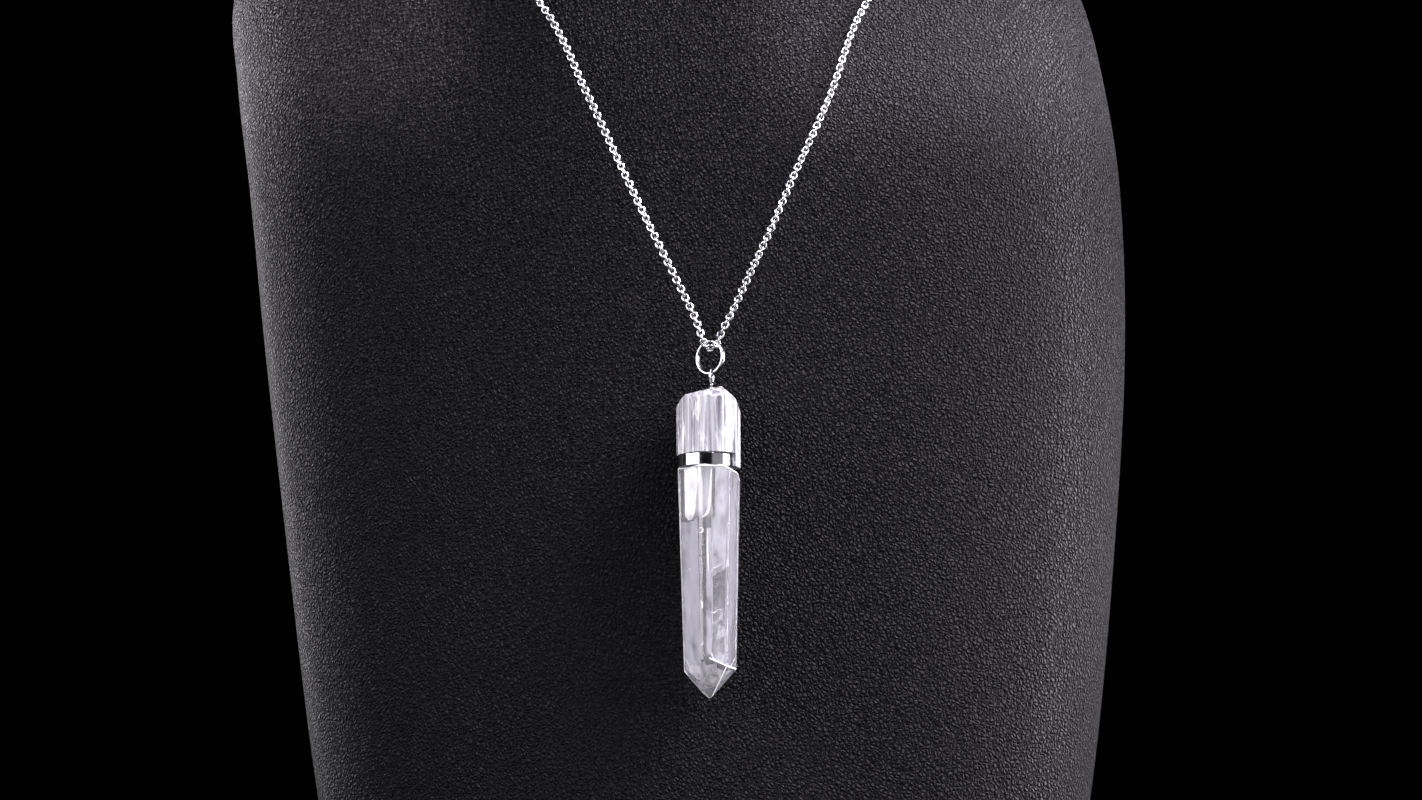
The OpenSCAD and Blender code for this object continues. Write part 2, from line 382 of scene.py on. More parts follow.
@dataclass(frozen=True)
class LeatherFinish:
    """Black pebbled leatherette, with a painted highlight on the shoulders: a sheen that rises
    towards the neck.
    """

    name: str = "Black leatherette"
    top: Colour = (0.0042, 0.0040, 0.0052)
    # Colour of the creases between pebbles, darkened as painted shade.
    crease: Colour = (0.0006, 0.0006, 0.0009)
    sheen: Colour = (0.95, 0.91, 1.0)
    pebbles_per_m: float = 1080.0
    depth: float = 0.00125
    shine: float = 0.21
    # Specular level of the painted highlight on the shoulders, placed by middle_x, aside and up.
    painted_sheen_level: float = 0.5
    middle_x: float = -0.02
    aside: tuple[float, float] = (0.018, 0.05)
    up: tuple[float, float] = (0.175, 0.225)
    worn_per_m: float = 22.0
    worn_tone: tuple[float, float] = (0.9, 1.1)
    crease_rough: float = 0.55
    top_rough: float = 0.38

    def painted_sheen_mask(self, graph: Graph) -> Socket:
        """Mask of the painted highlight on the shoulders, away from the middle and rising towards
        the neck.

        Args:
            graph: the material's graph.

        Returns:
            The mask.
        """
        place = graph.add("ShaderNodeSeparateXYZ")
        graph.feed(place, Vector=graph.add("ShaderNodeTexCoord").outputs["Object"])
        off = graph.math("ABSOLUTE", graph.math("SUBTRACT", place.outputs["X"], self.middle_x))
        high = graph.remap(place.outputs["Z"], *self.up)
        return graph.math("MULTIPLY", graph.remap(off, *self.aside), high)

    def build(self) -> Material:
        """Makes the material.

        Returns:
            The material.
        """
        material, graph, shader = new_surface(self.name, Specular_Tint=self.sheen)
        grain = graph.effect(Effect.PEBBLES, across=self.pebbles_per_m)
        pebbles = grain.outputs["Mask"]
        worn = graph.mask(
            Effect.CLOUDS, across=self.worn_per_m, drawn=1.0, level=0.5, softness=0.5
        )
        tone = graph.math("MULTIPLY", pebbles, graph.between(worn, *self.worn_tone))
        graph.feed(
            shader,
            # Pebble tops take the top colour and the creases between them the darker crease
            # colour: painted shade in the creases.
            Base_Color=graph.mix(tone, self.crease, self.top),
            # Painted highlight: the specular level rises on the shoulders towards the neck.
            Specular_IOR_Level=graph.between(self.painted_sheen_mask(graph), self.shine, self.painted_sheen_level),
            Roughness=graph.between(pebbles, self.crease_rough, self.top_rough),
            Normal=graph.bump(grain.outputs["Height"], self.depth),
        )
        return material


QUARTZ_IOR = 1.544
WHITE = (1.0, 1.0, 1.0)


@dataclass(frozen=True)
class QuartzFinish:
    """Quartz between clear and milky, with upright streaks and inner clouds."""

    name: str
    clear: Colour
    milky: Colour
    bright: Colour
    transmission: float
    smooth: float
    rough: float
    streaks_per_m: float
    streak_level: float
    clouds_per_m: float
    cloud_level: float
    ripple: float
    ripples_per_m: tuple[float, float] = (2600.0, 120.0)

    def build(self) -> Material:
        """Makes the material.

        Returns:
            The material.
        """
        material, graph, shader = new_surface(
            self.name, Transmission_Weight=self.transmission, IOR=QUARTZ_IOR, Metallic=0.0
        )
        across, level = self.streaks_per_m, self.streak_level
        streaks = graph.mask(
            Effect.STREAKS, across=across, drawn=0.05, level=level, softness=0.16
        )
        across, level = self.clouds_per_m, self.cloud_level
        clouds = graph.mask(Effect.CLOUDS, across=across, drawn=0.3, level=level, softness=0.2)
        body = graph.mix(streaks, self.clear, self.milky)
        milk = graph.math("MAXIMUM", streaks, clouds)
        lines = graph.noise(graph.place(*self.ripples_per_m), detail=3.0, warp=0.2)
        graph.feed(
            shader,
            Base_Color=graph.mix(clouds, body, self.bright),
            Roughness=graph.between(milk, self.smooth, self.rough),
            Normal=graph.bump(lines, self.ripple),
        )
        return material


@dataclass(frozen=True)
class VeilFinish:
    """Milk, streaks and healed cracks inside a stone, and sheets and lines of painted highlight
    and painted reflection, see-through between them.
    """

    name: str
    tone: Colour
    dim: Colour
    per_m: float
    drawn: float
    level: float
    softness: float
    cover: float = 1.0
    mirror: float = 0.0
    pattern: Effect = Effect.CLOUDS
    fine_times: float = 3.0
    rough: float = 0.6
    smooth: float = 0.35

    def build(self) -> Material:
        """Makes the material.

        Returns:
            The material.
        """
        material, graph, shader = new_surface(
            self.name, Specular_IOR_Level=0.3, Metallic=self.mirror
        )
        level, softness = self.level, self.softness
        wisps = graph.mask(
            self.pattern, across=self.per_m, drawn=self.drawn, level=level, softness=softness
        )
        across = self.per_m * self.fine_times
        fine = graph.mask(Effect.CLOUDS, across=across, drawn=self.drawn, level=0.5, softness=0.4)
        graph.feed(
            shader,
            Base_Color=graph.mix(fine, self.dim, self.tone),
            Roughness=graph.between(fine, self.rough, self.smooth),
            Alpha=graph.math("MULTIPLY", wisps, self.cover),
        )
        return material


@dataclass(frozen=True)
class GroundFinish:
    """White drill-ground or bruised quartz, streaked along the stone; on the point's outline edges
    the same white is painted highlight.
    """

    name: str
    white: Colour
    grey: Colour
    per_m: float
    drawn: float
    level: float
    mirror: float = 0.0
    smooth: float = 0.3
    rough: float = 0.5
    grit_per_m: tuple[float, float] = (4200.0, 2400.0)
    grit: float = 0.00003

    def build(self) -> Material:
        """Makes the material.

        Returns:
            The material.
        """
        material, graph, shader = new_surface(self.name, IOR=QUARTZ_IOR, Metallic=self.mirror)
        across, level = self.per_m, self.level
        streaks = graph.mask(
            Effect.STREAKS, across=across, drawn=self.drawn, level=level, softness=0.2
        )
        grit = graph.noise(graph.place(*self.grit_per_m), detail=2.0)
        graph.feed(
            shader,
            Base_Color=graph.mix(streaks, self.grey, self.white),
            Roughness=graph.between(streaks, self.smooth, self.rough),
            Normal=graph.bump(grit, self.grit),
        )
        return material


@dataclass(frozen=True)
class SilverFinish:
    """Polished silver with hair scratches and a faint tarnish."""

    name: str
    bright: Colour
    dull: Colour
    smooth: float
    rough: float
    per_m: float
    tarnish: tuple[float, float] = (0.45, 0.7)
    scratch: float = 0.000002

    def build(self) -> Material:
        """Makes the material.

        Returns:
            The material.
        """
        material, graph, shader = new_surface(self.name, Metallic=1.0)
        wear = graph.effect(Effect.WEAR, across=self.per_m)
        smudge = graph.remap(wear.outputs["Smudge"], *self.tarnish)
        halves = [graph.math("MULTIPLY", mask, 0.5) for mask in (wear.outputs["Mask"], smudge)]
        graph.feed(
            shader,
            Base_Color=graph.mix(smudge, self.bright, self.dull),
            Roughness=graph.between(graph.math("ADD", *halves), self.smooth, self.rough),
            Normal=graph.bump(wear.outputs["Mask"], self.scratch),
        )
        return material


@dataclass(frozen=True)
class FloorFinish:
    """Pale matt board."""

    name: str = "Pale board"
    tone: Colour = (0.140, 0.138, 0.136)
    shade: Colour = (0.126, 0.124, 0.122)
    clouds_per_m: float = 9.0
    rough: tuple[float, float] = (0.6, 0.72)

    def build(self) -> Material:
        """Makes the material.

        Returns:
            The material.
        """
        material, graph, shader = new_surface(self.name)
        clouds = graph.mask(
            Effect.CLOUDS, across=self.clouds_per_m, drawn=1.0, level=0.5, softness=0.5
        )
        tone = graph.mix(clouds, self.tone, self.shade)
        graph.feed(shader, Base_Color=tone, Roughness=graph.between(clouds, *self.rough))
        return material


# Mesh helpers


def mesh_piece(
    name: str, points: np.ndarray, faces: Sequence[Sequence[int]], frame: Optional[Matrix] = None
) -> Piece:
    """Makes a mesh object from points in millimetres.

    Args:
        name: the piece's name.
        points: one row of x, y, z for each vertex.
        faces: vertex indices of each face.
        frame: the piece's own frame, or None for the row's frame.

    Returns:
        The new object, linked to the scene.
    """
    mesh = bpy.data.meshes.new(name)
    mesh.from_pydata((np.asarray(points) * MM).tolist(), [], faces)
    mesh.update()
    piece = bpy.data.objects.new(name, mesh)
    bpy.context.scene.collection.objects.link(piece)
    if frame is not None:
        piece.matrix_world = frame
    return piece


def from_shape(name: str, shape: bmesh.types.BMesh, frame: Optional[Matrix] = None) -> Piece:
    """Makes a mesh object from an edited shape, and frees the shape.

    Args:
        name: the piece's name.
        shape: the edited shape, in metres.
        frame: the piece's own frame, or None for the row's frame.

    Returns:
        The new object.
    """
    piece = mesh_piece(name, np.zeros((0, 3)), [], frame)
    shape.to_mesh(piece.data)
    shape.free()
    return piece


def direction(azimuth: float, rise: float) -> np.ndarray:
    """Unit direction at an azimuth and a rise above level, both in degrees.

    Args:
        azimuth: degrees from straight ahead.
        rise: degrees above level.

    Returns:
        The unit direction.
    """
    az, up = math.radians(azimuth), math.radians(rise)
    level = math.cos(up)
    return np.array([level * math.sin(az), -level * math.cos(az), math.sin(up)])


def grid_faces(
    rows: int, columns: int, first: int = 0, ring_rows: bool = False, ring_columns: bool = False
) -> list[tuple[int, ...]]:
    """Quads of a grid of points.

    Args:
        rows: rows of points.
        columns: points in each row.
        first: index of the first point.
        ring_rows: whether the last row joins the first.
        ring_columns: whether each row's last point joins its first.

    Returns:
        The quads' vertex indices.
    """
    quads = []
    for i in range(rows if ring_rows else rows - 1):
        low, high = first + i * columns, first + (i + 1) % rows * columns
        for k in range(columns if ring_columns else columns - 1):
            after = (k + 1) % columns
            quads.append((low + k, low + after, high + after, high + k))
    return quads


def outward(piece: Piece) -> None:
    """Turns a closed mesh's faces to look outwards.

    Args:
        piece: the object.
    """
    shape = bmesh.new()
    shape.from_mesh(piece.data)
    bmesh.ops.recalc_face_normals(shape, faces=shape.faces)
    shape.to_mesh(piece.data)
    shape.free()


def smooth_shade(piece: Piece, angle: float) -> None:
    """Shades a piece smooth, with creases kept sharp past an angle in degrees.

    Args:
        piece: the object.
        angle: least angle of a crease, in degrees.
    """
    mesh = piece.data
    mesh.polygons.foreach_set("use_smooth", [True] * len(mesh.polygons))
    mesh.set_sharp_from_angle(angle=math.radians(angle))
    mesh.update()


def apply_modifiers(piece: Piece) -> None:
    """Replaces a piece's mesh with what its modifiers make of it.

    Args:
        piece: the object, whose modifiers are then cleared.
    """
    bpy.context.view_layer.update()
    graph = bpy.context.evaluated_depsgraph_get()
    old = piece.data
    piece.data = bpy.data.meshes.new_from_object(piece.evaluated_get(graph))
    piece.data.name = old.name
    piece.modifiers.clear()
    bpy.data.meshes.remove(old)


def carve(piece: Piece, cutters: Sequence[Piece]) -> None:
    """Cuts each cutter out of a piece and removes the cutters.

    Args:
        piece: the object that is cut.
        cutters: closed solids in the piece's own frame.
    """
    for cutter in cutters:
        cutter.matrix_world = piece.matrix_world
        cut = piece.modifiers.new("cut", "BOOLEAN")
        cut.operation = "DIFFERENCE"
        cut.solver = "MANIFOLD"
        cut.object = cutter
    apply_modifiers(piece)
    for cutter in cutters:
        bpy.data.objects.remove(cutter)


def turned(
    name: str, profile: Sequence[tuple[float, float]], centre: tuple[float, float], sides: int = 48
) -> Piece:
    """A closed turned solid about an upright axis.

    Args:
        name: the object's name.
        profile: (radius, height) from the bottom pole to the top pole, poles left out.
        centre: x and y of the axis.
        sides: flat sides round it.

    Returns:
        The new object.
    """
    turn = np.arange(sides) * 2 * math.pi / sides
    rings = [
        np.stack(
            [centre[0] + r * np.cos(turn), centre[1] + r * np.sin(turn), np.full(sides, z)], axis=1
        )
        for r, z in profile
    ]
    last = len(profile) - 1
    faces = grid_faces(len(profile), sides, ring_columns=True)
    faces.append(tuple(range(sides - 1, -1, -1)))
    faces.append(tuple(last * sides + k for k in range(sides)))
    return mesh_piece(name, np.concatenate(rings), faces)


def round_end(radius: float, height: float, steps: int) -> list[tuple[float, float]]:
    """Profile of the half ball under a height, without its lowest point."""
    turns = [math.pi / 2 * i / steps for i in range(1, steps)]
    return [(radius * math.sin(a), height - radius * math.cos(a)) for a in turns]


def finish_piece(piece: Piece, slot: Slot, materials: Sequence[Material], *nodes: str) -> None:
    """Dresses a new piece, hides the CAD nodes it replaces, and lets it ride on the body.

    Args:
        piece: the new piece.
        slot: the record's material slot; not used.
        materials: the piece's materials, in the order of its faces' indices.
        nodes: the CAD nodes that the piece stands for.
    """
    while len(piece.data.materials) < len(materials):
        piece.data.materials.append(None)
    for index, material in enumerate(materials):
        piece.data.materials[index] = material
    if nodes:
        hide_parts(*nodes)
    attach(piece, BODY)
    log.info("%s: %d faces", piece.name, len(piece.data.polygons))


# Neck bust


class Section(NamedTuple):
    """One level section of the bust."""

    height: float
    half_width: float
    front: float
    back: float
    squareness: float
    middle_x: float


SECTIONS = (
    Section(0, 77, -48, 48, 2.6, 0),
    Section(20, 80.5, -50, 50, 2.6, 0.5),
    Section(60, 87, -48, 50, 2.5, 0.5),
    Section(110, 93, -40.5, 54, 2.4, 0),
    Section(150, 97, -34, 60, 2.35, -1),
    Section(185, 99, -28, 68, 2.3, -3),
    Section(210, 99.5, -21.5, 77, 2.25, -6),
    Section(232, 97.5, -13, 81, 2.2, -9),
    Section(250, 87, -5, 85, 2.1, -9),
    Section(264, 69, -0.5, 88, 2, -7.5),
    Section(276, 57, 2, 89, 2, -6),
    Section(292, 52.5, 2, 89, 2, -6),
    Section(315, 50, 2, 89, 2, -6),
)


@dataclass(frozen=True)
class BustSkin:
    """The bust's outer form as a smooth surface through its sections."""

    sections: Sequence[Section] = SECTIONS

    @property
    def top(self) -> float:
        """Height of the bust."""
        return self.sections[-1].height

    def slope(self, row: int, column: int) -> float:
        """Slope of one column of the table at a row.

        Args:
            row: row of the table.
            column: column of the table.

        Returns:
            The slope, per millimetre of height.
        """
        low = self.sections[max(row - 1, 0)]
        high = self.sections[min(row + 1, len(self.sections) - 1)]
        return (high[column] - low[column]) / (high.height - low.height)

    def section(self, height: float) -> Section:
        """The section at any height.

        Args:
            height: height above the foot, held within the bust.

        Returns:
            The section, smooth between the table's rows.
        """
        z = min(max(height, 0.0), self.top)
        below = sum(1 for s in self.sections if s.height <= z)
        row = min(max(below - 1, 0), len(self.sections) - 2)
        low, high = self.sections[row], self.sections[row + 1]
        span = high.height - low.height
        t = (z - low.height) / span
        return Section(
            *(
                (2 * t**3 - 3 * t**2 + 1) * low[c]
                + (t**3 - 2 * t**2 + t) * span * self.slope(row, c)
                + (3 * t**2 - 2 * t**3) * high[c]
                + (t**3 - t**2) * span * self.slope(row + 1, c)
                for c in range(len(low))
            )
        )

    def point(self, azimuth: float, height: float, inset: float = 0.0) -> np.ndarray:
        """Point of the skin at an azimuth and height, drawn in by inset.

        Args:
            azimuth: degrees from straight ahead.
            height: height above the foot.
            inset: how far the section is drawn in.

        Returns:
            The point.
        """
        s = self.section(height)
        power = 2 / s.squareness
        side, ahead = math.sin(math.radians(azimuth)), math.cos(math.radians(azimuth))
        front, back = s.front + inset, s.back - inset
        right = math.copysign(abs(side) ** power, side)
        forward = math.copysign(abs(ahead) ** power, ahead)
        x = s.middle_x + (s.half_width - inset) * right
        return np.array([x, (front + back) / 2 - (back - front) / 2 * forward, height])

    def above(self, azimuth: float, height: float, gap: float) -> np.ndarray:
        """Point at a gap outside the skin.

        Args:
            azimuth: degrees from straight ahead.
            height: height above the foot.
            gap: distance off the skin.

        Returns:
            The point.
        """
        round_it = self.point(azimuth + 0.5, height) - self.point(azimuth - 0.5, height)
        up_it = self.point(azimuth, height + 0.5) - self.point(azimuth, height - 0.5)
        normal = np.cross(round_it, up_it)
        return self.point(azimuth, height) + normal / np.linalg.norm(normal) * gap


@dataclass
class NeckBust:
    """Display bust covered in leatherette, with softly rounded top and bottom rims."""

    skin: BustSkin
    sides: int = 176
    step: float = 2.6
    rim: float = 2.0
    rim_steps: int = 5
    crease_angle: float = 60

    def build(self) -> Piece:
        """Makes the bust as one smooth closed mesh.

        Returns:
            The bust.
        """
        quarter = [math.pi / 2 * i / self.rim_steps for i in range(self.rim_steps)]
        foot = [(self.rim * (1 - math.cos(a)), self.rim * (1 - math.sin(a))) for a in quarter]
        bands = round((self.skin.top - 2 * self.rim) / self.step)
        walls = np.linspace(self.rim, self.skin.top - self.rim, bands + 1)
        levels = foot + [(z, 0.0) for z in walls]
        levels += [(self.skin.top - z, inset) for z, inset in reversed(foot)]
        rows = [
            self.skin.point(-360 * k / self.sides, z, inset)
            for z, inset in levels
            for k in range(self.sides)
        ]
        quads = grid_faces(len(levels), self.sides, ring_columns=True)
        faces = [tuple(reversed(quad)) for quad in quads]
        last = (len(levels) - 1) * self.sides
        faces.append(tuple(range(self.sides)))
        faces.append(tuple(last + k for k in range(self.sides - 1, -1, -1)))
        bust = mesh_piece("bust_leatherette", np.array(rows), faces)
        outward(bust)
        smooth_shade(bust, self.crease_angle)
        finish_piece(bust, Slot.LEATHERETTE, [LeatherFinish().build()], "neck_bust")
        return bust


# Chain


class Lay(NamedTuple):
    """Where the chain lies on the bust: azimuth, height, lift off the skin."""

    azimuth: float
    height: float
    lift: float


LEFT_STRAND = (
    Lay(-174.5, 276, 0),
    Lay(-153, 277.2, 0),
    Lay(-129.9, 278, 0),
    Lay(-104.7, 277.6, 0.7),
    Lay(-78.7, 274, 0.7),
    Lay(-54.3, 265.3, 0.2),
    Lay(-33.6, 252.5, 0),
    Lay(-20.8, 238.3, 0),
    Lay(-13.5, 222.7, 0),
    Lay(-9.8, 204.9, 0.7),
    Lay(-6.4, 186.5, 2.2),
    Lay(-2.8, 168, 3.8),
)
RIGHT_STRAND = (
    Lay(5.2, 168, 3.8),
    Lay(10.1, 186.1, 2.3),
    Lay(16, 203.7, 0.8),
    Lay(22, 221.3, 0.1),
    Lay(30.9, 236.5, 0),
    Lay(43.5, 250.2, 0),
    Lay(61.4, 262.7, 0.3),
    Lay(83.6, 271.5, 0.5),
    Lay(107.8, 276.1, 0.5),
    Lay(131.6, 277.3, 0),
    Lay(153.8, 276.8, 0),
    Lay(174.5, 276, 0),
)
RING_BEND = (
    (-3, -39.2, 156),
    (-1.9, -40.7, 152.9),
    (-1.2, -41.4, 150.7),
    (-0.6, -41.1, 149.5),
    (0.4, -40.4, 149.1),
    (1.5, -39.6, 149.5),
    (2.1, -39.2, 150.6),
    (3, -39.1, 152.8),
    (4.4, -39.3, 155.5),
)


def smooth_line(points: Sequence[Sequence[float]], steps: int) -> np.ndarray:
    """Smooth line through points, with steps between each two.

    Args:
        points: rows of numbers.
        steps: new rows for each stretch.

    Returns:
        The rows of the smooth line.
    """
    p = np.asarray(points, dtype=float)
    p = np.concatenate([[2 * p[0] - p[1]], p, [2 * p[-1] - p[-2]]])
    rows = []
    for i in range(1, len(p) - 2):
        a, b, c, d = p[i - 1 : i + 3]
        for t in np.arange(steps) / steps:
            rows.append(
                0.5 * (2 * b + (c - a) * t + (2 * a - 5 * b + 4 * c - d) * t**2)
                + 0.5 * (3 * b - 3 * c + d - a) * t**3
            )
    rows.append(p[-2])
    return np.array(rows)


@dataclass
class CableChain:
    """Cable chain whose links stand alternately flat and upright, right round the neck."""

    skin: BustSkin
    width: float = 1.8
    length: float = 2.13
    wire: float = 0.52
    skin_gap: float = 0.3
    pitch: float = 1.083
    link_sides: int = 14
    wire_sides: int = 6
    clasp_x: float = -6.0
    clasp_reach: float = 5.2
    clasp_z: float = 276.0
    twist: float = 7.0
    roll: float = 42.0
    roll_links: float = 8.0
    calm_links: int = 12
    lay_steps: int = 12
    bend_steps: int = 8
    crease_angle: float = 80
    seed: int = 7

    def strand(self, lays: Sequence[Lay]) -> np.ndarray:
        """Middle line of one strand on the bust.

        Args:
            lays: where the strand lies.

        Returns:
            Its points.
        """
        gap = self.width / 2 + self.skin_gap
        lays = smooth_line(lays, self.lay_steps)
        return np.array([self.skin.above(az, z, gap + lift) for az, z, lift in lays])

    def route(self) -> np.ndarray:
        """Middle line of the whole chain, from one end ring of the clasp to the other.

        Returns:
            Its points.
        """
        left, right = self.strand(LEFT_STRAND), self.strand(RIGHT_STRAND)
        start = [self.clasp_x - self.clasp_reach, left[0][1], self.clasp_z]
        end = [self.clasp_x + self.clasp_reach, right[-1][1], self.clasp_z]
        bend = smooth_line(RING_BEND, self.bend_steps)
        return np.concatenate([[start], left, bend, right, [end]])

    def stations(self) -> tuple[np.ndarray, np.ndarray]:
        """Middle and direction of each link, evenly spaced along the route.

        Returns:
            The middles and the unit directions.
        """
        route = self.route()
        run = np.concatenate([[0], np.cumsum(np.linalg.norm(np.diff(route, axis=0), axis=1))])
        count = 2 * round((run[-1] / self.pitch + 1) / 2) + 1
        at = np.linspace(0, run[-1], count)
        pick = [np.interp(at, run, route[:, k]) for k in range(3)]
        centres = np.stack(pick, axis=1)
        ahead = np.gradient(centres, axis=0)
        log.info("chain: %d links on %.1f mm", count, run[-1])
        return centres, ahead / np.linalg.norm(ahead, axis=1)[:, None]

    def link(self) -> np.ndarray:
        """Points of one link that lies along X in the XY plane.

        Returns:
            The points, ring by ring of the wire.
        """
        turn = np.arange(self.link_sides) * 2 * math.pi / self.link_sides
        half_l, half_w = (self.length - self.wire) / 2, (self.width - self.wire) / 2
        rows = []
        for a in turn:
            middle = np.array([half_l * math.cos(a), half_w * math.sin(a), 0])
            out = np.array([math.cos(a) / half_l, math.sin(a) / half_w, 0])
            out /= np.linalg.norm(out)
            for k in range(self.wire_sides):
                b = 2 * math.pi * (k + 0.5) / self.wire_sides
                rows.append(middle + self.wire / 2 * (out * math.cos(b) + [0, 0, math.sin(b)]))
        return np.array(rows)

    def build(self) -> Piece:
        """Makes all links as one joined mesh.

        Returns:
            The chain.
        """
        chance = random.Random(self.seed)
        centres, ahead = self.stations()
        base, points, faces = self.link(), [], []
        neck = self.skin.section(self.skin.top)
        hub = np.array([neck.middle_x, (neck.front + neck.back) / 2, 0])
        for i, (centre, x) in enumerate(zip(centres, ahead)):
            away = (centre - hub) * (1, 1, 0)
            side = np.cross(x, away)
            side /= np.linalg.norm(side)
            up = np.cross(side, x)
            end = min(1.0, min(i, len(centres) - 1 - i) / self.calm_links)
            roll = end * self.roll * noise.noise(Vector((i / self.roll_links, 2.5, 0.0)))
            loose = end * chance.uniform(-self.twist, self.twist)
            turn = math.radians(90 * (i % 2 == 0) + roll + loose)
            y = side * math.cos(turn) + up * math.sin(turn)
            frame = np.stack([x, y, np.cross(x, y)])
            first = len(base) * len(points)
            quads = grid_faces(self.link_sides, self.wire_sides, first, True, True)
            faces += [(a, d, c, b) for a, b, c, d in quads]
            points.append(base @ frame + centre)
        chain = mesh_piece("cable_chain_links", np.concatenate(points), faces)
        smooth_shade(chain, self.crease_angle)
        finish = SilverFinish(
            "Chain silver", (0.66, 0.66, 0.68), (0.42, 0.42, 0.44), 0.2, 0.42, per_m=5200
        )
        finish_piece(chain, Slot.CHAIN_SILVER, [finish.build()], "chain")
        return chain


# Crystal


class Face(NamedTuple):
    """A flat face of a stone: azimuth, rise above level, distance from the stone's origin."""

    azimuth: float
    rise: float
    distance: float

    def normal(self) -> np.ndarray:
        """The face's outward direction."""
        return direction(self.azimuth, self.rise)


@dataclass(frozen=True)
class Hang:
    """How the crystal hangs: its top on the bust's middle line, and its axis along the chest."""

    cap_top: float = 140.7
    axis_off: float = 6.3
    chest_from: float = 1.0
    chest_to: float = 65.0

    def frame(self, skin: BustSkin) -> Matrix:
        """The crystal's own frame, with its origin at the top of the cap stone.

        Args:
            skin: the bust that the crystal lies along.

        Returns:
            The frame, in metres.
        """
        high = skin.point(0, self.cap_top - self.chest_from)
        low = skin.point(0, self.cap_top - self.chest_to)
        tilt = math.atan((high[1] - low[1]) / (high[2] - low[2]))
        y = high[1] - self.axis_off * math.cos(tilt)
        place = Matrix.Translation((0, y * MM, self.cap_top * MM))
        return place @ Matrix.Rotation(-tilt, 4, "X")


@dataclass(frozen=True)
class Collar:
    """The silver collar and the drilled bores behind it, in the crystal's frame."""

    height: float = 2.7
    radius: float = 5.95
    middle_x: float = -0.7
    seat: float = 0.1
    wall_gap: float = 0.12
    bore_x: float = -2.0
    bore_y: float = 0.2
    point_bore_r: float = 2.17
    point_bore_len: float = 11.12
    cap_bore_r: float = 1.72
    cap_bore_len: float = 5.2


@dataclass
class FacetedStone:
    """A convex stone cut by flat faces."""

    faces: Sequence[Face]
    origin_z: float
    top_z: float
    weld: float = 0.06

    def planes(self) -> tuple[np.ndarray, np.ndarray]:
        """Outward directions and distances of all faces, from the crystal's origin.

        Returns:
            The directions and the distances.
        """
        normals = np.array([f.normal() for f in self.faces])
        reach = np.array([f.distance for f in self.faces]) + normals[:, 2] * self.origin_z
        return np.vstack([normals, [0, 0, 1]]), np.append(reach, self.top_z)

    def cut(self, name: str, frame: Matrix) -> Piece:
        """Cuts the stone out of a block, one face at a time.

        Args:
            name: the piece's name.
            frame: the crystal's own frame.

        Returns:
            The stone as a closed mesh.
        """
        shape = bmesh.new()
        bmesh.ops.create_cube(shape, size=260 * MM)
        for normal, reach in zip(*self.planes()):
            bmesh.ops.bisect_plane(
                shape,
                geom=shape.verts[:] + shape.edges[:] + shape.faces[:],
                dist=1e-8,
                plane_co=Vector(normal * reach * MM),
                plane_no=Vector(normal),
                clear_outer=True,
            )
            bmesh.ops.holes_fill(shape, edges=[e for e in shape.edges if e.is_boundary])
        bmesh.ops.remove_doubles(shape, verts=shape.verts, dist=self.weld * MM)
        bmesh.ops.recalc_face_normals(shape, faces=shape.faces)
        return from_shape(name, shape, frame)

    def press_inside(self, points: np.ndarray, margin: float, core: np.ndarray) -> np.ndarray:
        """Moves points that lie too near a face or past it to a margin inside it.

        Args:
            points: the points, in the crystal's frame.
            margin: least distance from every face.
            core: a point well inside, towards which the last stragglers are drawn.

        Returns:
            The moved points.
        """
        normals, reach = self.planes()
        for _ in range(3):
            for normal, distance in zip(normals, reach):
                over = np.maximum(points @ normal - (distance - margin), 0)
                points = points - over[:, None] * normal
        out = (points - core) @ normals.T
        room = reach - margin - core @ normals.T
        share = np.where(out > 1e-6, room / np.maximum(out, 1e-6), 1.0).min(axis=1)
        return core + (points - core) * np.minimum(share, 1.0)[:, None]


POINT_SIDES = (
    Face(-52, -1.3, 5.65),
    Face(-16, -1.5, 6.5),
    Face(13, -0.85, 5.95),
    Face(67.5, -1.35, 5.85),
    Face(124.5, -1.3, 5.85),
    Face(182, -1.25, 5.8),
    Face(243.5, -1.3, 5.65),
)
POINT_SHOULDER = (Face(75, 60, 2.2), Face(92, 45, 3.55), Face(94, 18, 5.45), Face(200, 50, 3.9))


class TipFace(NamedTuple):
    """A tip face: azimuth, depth where it meets the axis, angle to the axis."""

    azimuth: float
    depth: float
    angle: float

    def face(self) -> Face:
        """The same face by its distance."""
        return Face(self.azimuth, -self.angle, self.depth * math.sin(math.radians(self.angle)))


POINT_TIP = (
    TipFace(-58, 49, 37.2),
    TipFace(-6, 47.4, 38.2),
    TipFace(66, 48.2, 38.2),
    TipFace(124, 48.6, 38.2),
    TipFace(182, 50.6, 38.2),
    TipFace(243, 49, 37.2),
)


class Chip(NamedTuple):
    """A shell-shaped chip: middle x, y, z and radius."""

    x: float
    y: float
    z: float
    radius: float


def chip_cutters(chips: Sequence[Chip], seed: int) -> Piece:
    """Rough little balls that break chips out of a stone's edges, as one object.

    Args:
        chips: the chips, in the crystal's frame.
        seed: seed of the balls' stretch.

    Returns:
        The balls.
    """
    stretches, roughness, rough_per_m = (1.2, 2.0), 0.22, 1400
    chance = random.Random(seed)
    shape = bmesh.new()
    for chip in chips:
        ball = bmesh.ops.create_icosphere(shape, subdivisions=2, radius=chip.radius * MM)
        stretch = Vector((1, 1, chance.uniform(*stretches)))
        for vert in ball["verts"]:
            at = vert.co * rough_per_m + Vector((chip.z, chip.x, 0))
            rough = 1 + roughness * noise.noise(at)
            vert.co = Vector(a * b for a, b in zip(vert.co, stretch)) * rough
            vert.co += Vector((chip.x, chip.y, chip.z)) * MM
    return from_shape("chips", shape)


